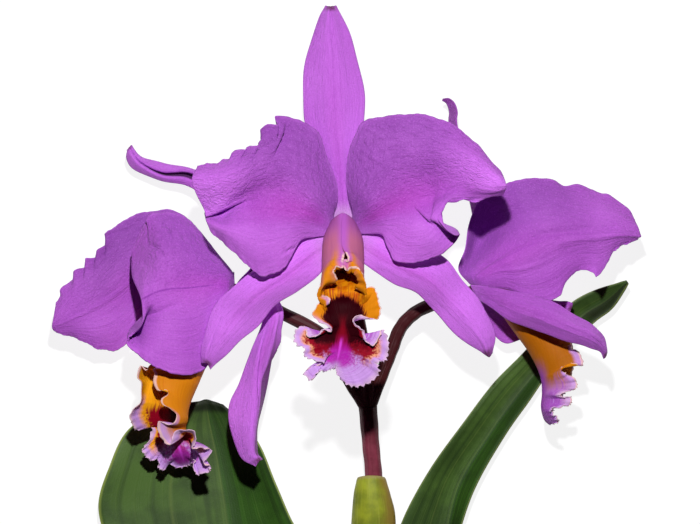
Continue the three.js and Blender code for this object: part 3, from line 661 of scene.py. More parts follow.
def sheath_finish(name):
    """Yellow-green sheath: ribs along it, olive clouds and a dry, pale upper end."""
    finish = Finish(name)
    s, t = finish.sheet()
    place = finish.place()
    clouds = finish.noise(place, 70.0, 4.0, 0.6)
    ribs = finish.noise(finish.vector(s * 1.6, t * 60.0), 1.0, 3.0, 0.6)
    colour = finish.coated(
        SHEATH_GREEN,
        (SHEATH_OLIVE, clouds.step(0.35, 0.7)),
        (SHEATH_RIB, ribs.step(0.5, 0.75) * 0.5),
        (SHEATH_DRY, (t + (clouds - 0.5) * 0.3).step(0.55, 0.72) * 0.7),
        (SHEATH_TIP, (s + (ribs - 0.5) * 0.04).step(0.955, 0.985) * 0.8),
    )
    finish.set(Base_Color=colour, Roughness=0.45 + 0.15 * ribs, Normal=finish.relief(ribs, 0.0006, 0.6))
    finish.set(Subsurface_Weight=0.1, Subsurface_Radius=(0.6, 1.0, 0.2), Subsurface_Scale=0.002)
    finish.set(Specular_IOR_Level=0.2)
    return finish.material


def bulb_finish(name):
    """Green pseudobulb skin with furrows along it and a pale cut end."""
    finish = Finish(name)
    s, t = finish.sheet()
    place = finish.place()
    clouds = finish.noise(place, 50.0, 4.0, 0.6)
    furrows = finish.noise(finish.vector(s * 2.0, t * 24.0), 1.0, 3.0)
    colour = finish.coated(
        BULB_GREEN,
        (BULB_LIGHT, clouds.step(0.35, 0.7)),
        (BULB_LINE, furrows.step(0.55, 0.8) * 0.4),
        (BULB_CUT, s.step(0.1, 0.06)),
    )
    finish.set(Base_Color=colour, Roughness=0.45 + 0.15 * clouds)
    finish.set(Normal=finish.relief(furrows, 0.0008, 0.6))
    return finish.material


def column_finish(name):
    """Waxy pale lilac tissue, deeper at its tip."""
    finish = Finish(name)
    s, _ = finish.sheet()
    clouds = finish.noise(finish.place(), 200.0, 3.0)
    colour = finish.mix(COLUMN_LILAC, COLUMN_TIP, (s + clouds * 0.2).step(0.75, 1.05))
    finish.set(Base_Color=colour, Roughness=0.35 + 0.15 * clouds, Normal=finish.relief(clouds, 0.0003, 0.3))
    return finish.material


# ---- Blades: sepals and petals -----------------------------------------------------------------------


def waved(grid, height, reach, waves, start):
    """The grid with a waved edge: sines along s of the height in z and of the reach outward, both
    growing with the cube of the distance from the midline."""
    s, t = sheet_share(grid)
    side = 2 * t - 1
    grow = np.abs(side) ** 3 * smooth(s, start, start + 0.25)
    phase = TURN * waves * s + np.where(side > 0, 1.1, 0)
    outward = unit(grid[:, -1:] - grid[:, :1]) * np.sign(side)[..., None]
    moved = grid + outward * (reach * grow * np.sin(2.3 * phase + 0.6))[..., None]
    moved[..., 2] += height * grow * (np.sin(phase) + 0.5 * np.sin(1.7 * phase + 2))
    return moved


def laid(grid, edge, knots, powers):
    """The grid with one edge (-1 for the first column, 1 for the last) laid along a drawn margin. Each
    knot is (s, x, y, z): the share along the sheet and the point there, and a smooth curve joins the
    points. The shift of the edge fades into the sheet with a power of the distance from the midline,
    given as pairs (s, power)."""
    knots = np.asarray(knots, float)
    s, t = sheet_share(grid)
    along = np.interp(s[:, 0], knots[:, 0], np.linspace(0, 1, len(knots)))
    shift = spline(knots[:, 1:], along) - grid[:, -1 if edge > 0 else 0]
    held = smooth(s[:, 0], knots[0, 0] - 0.04, knots[0, 0]) if knots[0, 0] > 0 else np.ones(len(s))
    if knots[-1, 0] < 1:
        held = held * smooth(s[:, 0], knots[-1, 0] + 0.04, knots[-1, 0])
    power = np.interp(s, *zip(*powers))
    share = np.clip(edge * (2 * t - 1), 0, 1) ** power * held[:, None]
    return grid + share[..., None] * shift[:, None]


def pleated(grid, pleats):
    """The grid with pleats. Each is ((s, t) from, (s, t) to, width, lap, lift) in millimetres: the
    sheet is drawn toward the line by lap * tanh(c / width) within a few widths, where c is the distance
    from the line, so that it folds over itself, and is lifted by lift * tanh(c / width), so that one
    side lies on the other. Both fade toward the second end."""
    for start, end, width, lap, lift in pleats:
        rows, columns = grid.shape[:2]
        corner = [grid[int(a * (rows - 1)), int(b * (columns - 1))] for a, b in (start, end)]
        run = corner[1] - corner[0]
        length = np.hypot(run[0], run[1])
        run = run[:2] / length
        across = np.array([-run[1], run[0]])
        from_start = grid[..., :2] - corner[0][:2]
        c = from_start @ across
        share = (from_start @ run) / length
        near = np.exp(-((c / (5 * width)) ** 2)) * smooth(share, -0.3, 0) * smooth(share, 1, 0.1)
        grid = grid.copy()
        grid[..., :2] -= (lap * near * np.tanh(c / width))[..., None] * across
        grid[..., 2] += lift * near * np.tanh(c / width)
    return grid


def wrinkled(grid, patches):
    """The grid with patches of fine parallel wrinkles along its normals. Each patch is ((s, t) centre,
    (s, t) radii, waves along, waves across, height): a wandering sine under a bell."""
    s, t = sheet_share(grid)
    push = np.zeros_like(s)
    for seed, (middle, radii, waves_s, waves_t, height) in enumerate(patches):
        phase = TURN * (waves_s * s + waves_t * t) + 5 * rumple(s * 7, t * 7, 70 + seed)
        push += height * mound(s, t, middle, radii) * (np.sin(phase) + 0.4 * np.sin(2.3 * phase + 1))
    return grid + normals(grid) * push[..., None]


def lifted(grid, lifts):
    """The grid raised in z by bells. Each is ((s, t) centre, (s, t) radii, height)."""
    s, t = sheet_share(grid)
    grid = grid.copy()
    for middle, radii, height in lifts:
        grid[..., 2] += height * mound(s, t, middle, radii)
    return grid


def creased(grid, creases):
    """The grid pushed along its normals by creases. Each is ((s, t) from, (s, t) to, width, depth): a
    bell across the line between its ends, in the sheet's own coordinates, that fades beyond them."""
    s, t = sheet_share(grid)
    push = np.zeros_like(s)
    for start, end, width, depth in creases:
        run = np.subtract(end, start)
        share = np.clip(((s - start[0]) * run[0] + (t - start[1]) * run[1]) / (run @ run), 0, 1)
        away = np.hypot(s - start[0] - share * run[0], t - start[1] - share * run[1])
        swell = 0.35 + 0.65 * np.sin(math.pi * np.clip(share, 0.08, 0.92))
        push += depth * np.exp(-((away / width) ** 2)) * swell
    return grid + normals(grid) * push[..., None]


def veined(grid, depth, ribs, seed):
    """The grid with fine relief along its normals: ribs that fan out from the base, and irregular
    wrinkles."""
    s, t = sheet_share(grid)
    fan = np.sin(TURN * ribs * (t - 0.5) + 1.6 * rumple(s * 1.5, t * 2, seed))
    wrinkle = rumple(s * 4.5, t * 11, seed + 1)
    broad = rumple(s * 1.6, t * 2.2, seed + 2)
    fade = smooth(s, 0.04, 0.25)
    return grid + normals(grid) * (depth * fade * (0.12 * fan + 0.25 * wrinkle + 1.6 * broad))[..., None]


def crisped(grid, height, reach, waves, seed, start=0.25):
    """The grid with a finely crisped rim: quick irregular waves across and within the sheet, only near
    its edge."""
    s, t = sheet_share(grid)
    side = 2 * t - 1
    near = np.abs(side) ** 9 * smooth(s, start, start + 0.25)
    phase = TURN * waves * s + 2.2 * rumple(s * 3, np.sign(side), seed)
    outward = unit(grid[:, -1:] - grid[:, :1]) * np.sign(side)[..., None]
    moved = grid + normals(grid) * (height * near * np.sin(phase))[..., None]
    return moved + outward * (reach * near * np.sin(1.9 * phase + 1))[..., None]


# The net of each blade, from its bloom's centre: rows of points from edge to edge, from base to tip
NETS = {
    "center_dorsal_sepal": [
        [(-4, 2.2, -3.2), (0, 2.4, -1.4), (4, 2.2, -3.2)],
        [(-6, 11, -4.5), (0, 11, -1.6), (6, 11, -4.5)],
        [(-7, 20, -5), (-0.5, 20, -1.5), (6, 20, -5)],
        [(-11, 35, -5), (-2, 35, -1.5), (6, 35, -5)],
        [(-18, 51, -8), (-3.5, 51, -2), (10, 51, -8)],
        [(-20, 66, -10), (-4.5, 66, -3), (11, 66, -10)],
        [(-19.5, 81, -12), (-5, 81, -5), (8.5, 81, -12)],
        [(-16, 96, -14), (-6, 96, -8), (4.5, 96, -14)],
        [(-12, 107, -15), (-6.5, 107, -11), (0, 107, -15)],
        [(-9, 113.5, -17), (-6.5, 113, -15), (-3.5, 113.5, -17)],
    ],
    "center_left_sepal": [
        [(-3.4, -1.8, -3), (-3, -2.9, -2.8), (-1.8, -3.8, -3)],
        [(-8, 3, -2), (-7.5, -6, -1), (-5, -12, -2)],
        [(-20, -1.5, -1), (-17, -13.5, 1), (-12.5, -22, -1)],
        [(-35.5, -12, -2), (-29, -22.5, 1), (-22, -29, -3)],
        [(-53, -26, -5), (-44, -33, -1.5), (-34, -37, -6)],
        [(-62.5, -34.5, -9), (-53.5, -42.5, -6), (-43, -47.5, -9)],
        [(-68, -46.5, -10), (-61, -52.5, -7), (-52.5, -55.5, -10)],
        [(-70.5, -57, -11), (-66, -61, -9), (-60.5, -63.5, -11)],
        [(-71, -65.5, -13), (-68, -66, -12), (-66.5, -68.8, -13)],
    ],
    "center_right_sepal": [
        [(3.4, -1.8, -3), (3, -2.9, -2.8), (1.8, -3.8, -3)],
        [(8, 3, -2), (7.5, -5, -1), (5, -11, -2)],
        [(21, 0.5, -1), (17, -11, 1), (12, -17, -1)],
        [(38, -6, -2), (31, -18, 1), (25, -25.5, -3)],
        [(52, -14, -6), (43.5, -24.5, -2), (36.5, -30.5, -6)],
        [(60.5, -25, -11), (53, -34, -7), (45, -38.5, -11)],
        [(69.5, -36, -12), (61.5, -42.5, -8), (53, -48, -12)],
        [(75.8, -50, -13), (69.5, -53, -10), (62.5, -56, -13)],
        [(75, -60.5, -15), (73.2, -62.5, -14), (71.3, -61.2, -15)],
    ],
    "center_left_petal": [
        [(-3.4, 3.5, 0), (-3.5, 2.2, 0.4), (-3.6, 1, 0.6), (-3.5, -0.2, 0.4), (-3.4, -1.4, 0)],
        [(-5, 18, 2), (-7.5, 12, 3.5), (-10.5, 5.5, 3.5), (-12.5, 1, 3), (-13.5, -2.5, 2)],
        [(-8, 33.5, 3), (-14, 21, 8), (-18, 9.5, 8), (-20, 1.5, 7), (-20.5, -4, 5)],
        [(-12.5, 47, 3), (-20.5, 30, 9), (-26.5, 12, 9), (-27.5, 0, 10), (-24.5, -10, 6)],
        [(-22.5, 56.5, 4), (-29, 36, 10), (-35.5, 13, 9), (-35.5, -1.5, 12), (-29.5, -18, 6)],
        [(-35.5, 55, 5), (-40.5, 34.5, 11), (-44.5, 13, 8), (-44.5, -2.5, 13), (-40.5, -22, 7)],
        [(-48.5, 42.5, 7), (-51, 28.5, 13), (-53, 12, 6), (-53.5, 0, 12), (-51.5, -13, 8)],
        [(-60.5, 37, 8), (-63, 25, 14), (-61, 9, 3), (-61, 2, 9), (-60, -5, 6)],
        [(-72, 33, 7), (-75, 25, 11), (-69.5, 11, 3), (-68, 5, 5), (-66, 0, 4)],
    ],
    "center_right_petal": [
        [(3.4, 3.5, 0), (3.5, 2.2, 0.4), (3.6, 1, 0.6), (3.5, -0.2, 0.4), (3.4, -1.4, 0)],
        [(3.5, 16, 2), (7, 10, 3.5), (10, 5, 3.5), (12, 1.5, 3), (13, -1, 2)],
        [(1.5, 30, 3), (10.5, 18, 8), (17.5, 9.5, 8), (19, 3.5, 7), (19.5, -1.5, 5)],
        [(3, 43.5, 3), (16, 27, 9), (26, 14.5, 9), (27, 3.5, 10), (22.5, -8, 6)],
        [(10.5, 55, 3), (23.5, 36, 10), (34.5, 18, 9), (34.5, 2, 13), (29.5, -15, 7)],
        [(24.5, 58, 5), (34.5, 38.5, 11), (43.5, 20, 8), (43.5, 4, 14), (40.5, -15.5, 8)],
        [(39.5, 58.5, 7), (45.5, 39, 11), (49, 22, 7), (45.5, 8, 13), (53, -6, 12)],
        [(54.5, 53.5, 7), (58, 38, 10), (59.5, 24, 6), (54.5, 17.5, 7), (49.5, 13, 9)],
        [(67.5, 42.5, 7), (70.5, 32, 9), (72, 21, 6), (70.5, 18.5, 5), (66.5, 15.5, 5)],
        [(78.5, 29.5, 6), (80.5, 25.5, 6), (81, 22, 5), (80, 19.5, 4), (77.5, 17.5, 3)],
    ],
    "left_dorsal_sepal": [
        [(3.8, 1.6, 1.2), (3.5, 2, 0.2), (3.2, 2.4, -0.5), (2.8, 2.8, 0.2), (2.3, 3.2, 1.2)],
        [(14, 17.5, -2), (13, 17.2, -4), (12, 16.8, -8), (11, 16.4, -4), (10, 16, -2)],
        [(-1, 39.5, -6), (-3.5, 38.5, -5), (-5, 37.5, -10), (-6.5, 36.7, -5), (-9, 35.5, -6)],
        [(-10.5, 55, -11), (-11.5, 53, -9), (-12.8, 51.2, -14), (-13.8, 49.5, -9), (-15, 47, -10)],
        [(-22, 61.3, -16), (-22.3, 59.6, -13), (-22.6, 57.8, -18), (-23, 55.9, -12), (-24, 52.5, -14)],
        [(-35, 64, -18), (-35.5, 60, -14), (-35.8, 58.6, -19), (-36, 57.3, -13), (-37, 55.3, -16)],
        [(-44.5, 66.5, -17), (-45.8, 64.6, -14), (-46.3, 63.9, -18), (-47, 63, -13), (-49, 60, -17)],
        [(-49.8, 70.4, -16), (-50.3, 69.4, -14), (-50.6, 68.9, -17), (-51.3, 68.4, -13), (-53.8, 66, -16)],
        [
            (-51.3, 73.2, -15), (-51.6, 72.8, -14.5), (-51.8, 72.6, -15), (-52.3, 72, -14.5),
            (-53.5, 70.6, -15),
        ],
    ],
    "left_near_sepal": [
        [(0.5, -4, 2.2), (2, -3.5, 2.6), (3.6, -2.4, 2.2)],
        [(13, -7, 6), (16, -4.5, 8), (19, -2.5, 5)],
        [(15, -16, 9), (20.5, -14, 13), (25.5, -11.5, 9)],
        [(9.5, -30, 7), (15.5, -31, 12), (22, -30, 6)],
        [(4, -45.5, 4), (12.5, -44, 10), (18.5, -44.5, 2)],
        [(-1.5, -57, 2), (11.5, -57.5, 10), (14.8, -58.5, -1)],
        [(-1, -70.5, 3), (10, -71, 11), (12.3, -71.5, 0)],
        [(4, -83.5, 5), (10, -81.5, 10), (12.5, -81, 4)],
        [(11.5, -88.8, 8), (13.5, -86, 9), (15, -85, 8)],
    ],
    "left_far_sepal": [
        [(-2.6, -3, -1.6), (-1.4, -3.6, -2), (0, -3.6, -2.8)],
        [(-14, -4, -13), (-10, -11, -14), (-5, -17, -15)],
        [(-29, -9, -18), (-24, -18, -17), (-18, -26, -19)],
        [(-44, -12, -21), (-40, -21, -19), (-34, -30, -21)],
        [(-56, -17, -22), (-53, -23, -20.5), (-48, -29, -22)],
        [(-62, -22, -22), (-61, -24, -21.5), (-58, -26, -22)],
    ],
    "left_near_petal": [
        [(1, 3, 3.2), (0.5, 1.5, 3.8), (0, 0, 4.1), (-0.5, -1.5, 3.8), (-1, -3, 3.2)],
        [(-0.5, 15.5, 5), (-2, 9, 9), (-3, 3, 11), (-3.5, -5, 12), (-3, -14, 11)],
        [(-9, 25, 4), (-10.5, 13.5, 12), (-12, 2, 15.5), (-12, -13, 17), (-9, -31, 12.5)],
        [(-18, 34, 3), (-19.5, 17.5, 14), (-21, 1, 18), (-21, -17.5, 20.5), (-15, -40.5, 13)],
        [(-27, 38.5, 3), (-28, 20, 16), (-29.5, 0.5, 20), (-30, -17.5, 23), (-26, -42.5, 21)],
        [(-36, 39, 5), (-36, 20, 17), (-37, -1, 21), (-37.5, -17.5, 24.5), (-37, -39, 24)],
        [(-43.5, 34, 5), (-43.5, 16, 11), (-42.5, -3.5, 21), (-43, -17.5, 24.5), (-44.5, -34.5, 24)],
        [(-50.5, 20, 4), (-50.5, 7.5, 6), (-45.5, -5, 21), (-47.5, -16, 22), (-52.5, -27.5, 21)],
    ],
    "left_far_petal": [
        [(1, 2.5, -4.2), (0.3, 1.2, -4.6), (0, 0, -4.8), (-0.3, -1.2, -4.6), (-1, -2.5, -4.2)],
        [(-8, 15, -9), (-9.5, 12, -8.5), (-11, 9, -8.5), (-12, 5, -9), (-12.5, 1, -10)],
        [(-26, 38, -11), (-27, 27, -9), (-28, 17, -9), (-28, 7.5, -10), (-27.5, -1, -12)],
        [(-42, 39.5, -11), (-43, 25, -7), (-44, 10, -6), (-44, -2.5, -8), (-43, -14, -12)],
        [(-57, 34, -10), (-58, 17, -5), (-58.5, -1, -3), (-57, -16, -4), (-55.5, -29, -9)],
        [(-69, 20, -9), (-69.5, 6, -4), (-70, -8, -3), (-68.5, -20, -3), (-67, -30, -8)],
        [(-80, 9, -8), (-80.5, -2, -4), (-81, -13, -3), (-79.5, -19.5, -4), (-77.5, -25, -6)],
        [(-89, -6.5, -5), (-90, -12.5, -4), (-91, -18, -4), (-90.5, -20, -5), (-89, -21.5, -6)],
    ],
    "right_dorsal_sepal": [
        [(-0.5, 3.7, 1.5), (-1.2, 4.1, 0), (-0.5, 3.7, -1.5)],
        [(0, 20, -17), (-2.5, 20, -20), (-0.5, 20, -24)],
        [(0, 38, -19), (-3, 38, -23), (-0.5, 38, -28)],
        [(-5.5, 60, -8), (-8.5, 60, -18), (-6, 60, -28)],
        [(-10.8, 82.5, -10), (-14.6, 82, -18), (-11.2, 82.5, -27)],
        [(-10.8, 89.5, -12), (-14.6, 89.5, -18), (-11.2, 89.5, -24)],
        [(-12.3, 94.3, -14), (-15.4, 93, -18), (-12.6, 94.3, -22)],
        [(-15.2, 96.6, -16), (-16.6, 94.8, -18), (-15.4, 96.6, -20)],
        [(-18.2, 96.3, -17.3), (-18.4, 95.8, -18), (-18.2, 96.3, -18.7)],
    ],
    "right_near_sepal": [
        [(-4.8, 2.6, 4.4), (-3, -1, 4.8), (-1, -4.4, 3.6)],
        [(5, 1.6, 8.5), (6, -3.4, 9.5), (6, -9, 7.5)],
        [(18.5, -1, 12), (17.5, -8.5, 16), (15, -15.5, 12)],
        [(30, -3.5, 16), (28.5, -12, 22), (26.5, -19.5, 16)],
        [(39.5, -7.5, 19), (38, -16, 24.5), (35.5, -23, 19)],
        [(48.5, -13, 20), (47, -20, 24.5), (45, -26, 20)],
        [(57, -18, 19), (55.5, -23.5, 23), (53.5, -28.5, 19)],
        [(62, -23.5, 17), (61, -28, 19), (59.5, -30.5, 17)],
        [(64, -31, 14.5), (63, -33.5, 15), (62, -34.5, 14.5)],
    ],
    "right_far_sepal": [
        [(2.5, -3, -2), (1, -3.7, -2.6), (-0.8, -3.9, -2)],
        [(10, -5, -12), (8, -12.5, -11), (5, -19, -12)],
        [(20, -6, -16), (18, -16, -15), (14, -27, -16)],
        [(31.5, -5.5, -17), (30, -14, -16), (28, -22, -17)],
        [(41, -5.5, -17), (39.5, -11.5, -16.5), (38, -17.5, -17)],
        [(47.5, -6.5, -16), (47, -9, -16), (46, -11, -16)],
    ],
    "right_near_petal": [
        [(-5, 3, 2.6), (-2.6, 2, 3.5), (-0.8, 1.2, 3.9), (0.6, 0.5, 3.9), (2, -0.2, 3.6)],
        [(-10.6, 10.5, 3), (-6.5, 8.5, 5.5), (-1, 6.5, 7), (3.5, 3.5, 7), (6, 1, 6)],
        [(-7, 21, 2), (-2.5, 17, 6), (6, 12, 9), (11.5, 6, 9), (15, 0, 7)],
        [(-5, 33, 1), (3, 26, 7), (14, 16.5, 12), (22, 5, 10), (27.5, -5, 7)],
        [(1, 47, 1), (11.5, 35.5, 8), (24, 21.5, 13), (32.5, 8, 11), (38, -4.5, 8)],
        [(15, 54, -1), (24, 40, 7), (34.5, 26, 12), (41.5, 13.5, 10), (45.5, 2.5, 7)],
        [(32.5, 56, -3), (38.5, 42.5, 5), (46, 28, 10), (51, 18, 8), (54, 9, 5)],
        [(50, 53, -5), (53.5, 41.5, 2), (58.5, 28.5, 7), (61, 18, 6), (61.5, 9, 4)],
        [(65, 47.5, -6), (67.5, 39, -1), (70, 28.5, 4), (70, 23.5, 3), (68.5, 19, 1)],
        [(77, 38, -6), (79, 33.5, -4), (81, 27.5, -2), (79.5, 25.5, -3), (77.5, 24, -4)],
    ],
    "right_far_petal": [
        [(2, 2.5, -4.2), (1, 1.2, -4.7), (0, 0, -4.2)],
        [(8, 17, -12), (12, 12, -12), (16, 6, -12)],
        [(16, 31, -17), (23, 20, -14), (30, 7, -17)],
        [(30, 42, -20), (37.5, 26, -16), (43, 10, -20)],
        [(47, 43, -21), (52, 29, -17), (54, 16, -21)],
        [(60, 38, -21), (64, 30, -19), (63, 23, -21)],
        [(68.5, 32, -20), (70, 29, -20), (68.5, 26.5, -20)],
    ],
}

# By kind of blade: the rows and columns of its sheet, its thickness, and the depth and number of its
# veins
BLADE_GRIDS = {"petal": (150, 96), "sepal": (120, 40)}
BLADE_THICKNESS = {"petal": PETAL_THICKNESS, "sepal": SEPAL_THICKNESS}
BLADE_VEINS = {"petal": (0.2, 16), "sepal": (0.08, 8)}

# A sepal's waves: their height, reach and number, and where along it they start. A petal has its own
# height of waves, of which their reach is a share
SEPAL_WAVES = (0.35, 0.2, 2, 0.2)
PETAL_WAVES = 4
PETAL_WAVE_REACH = 0.6
PETAL_WAVE_START = 0.2

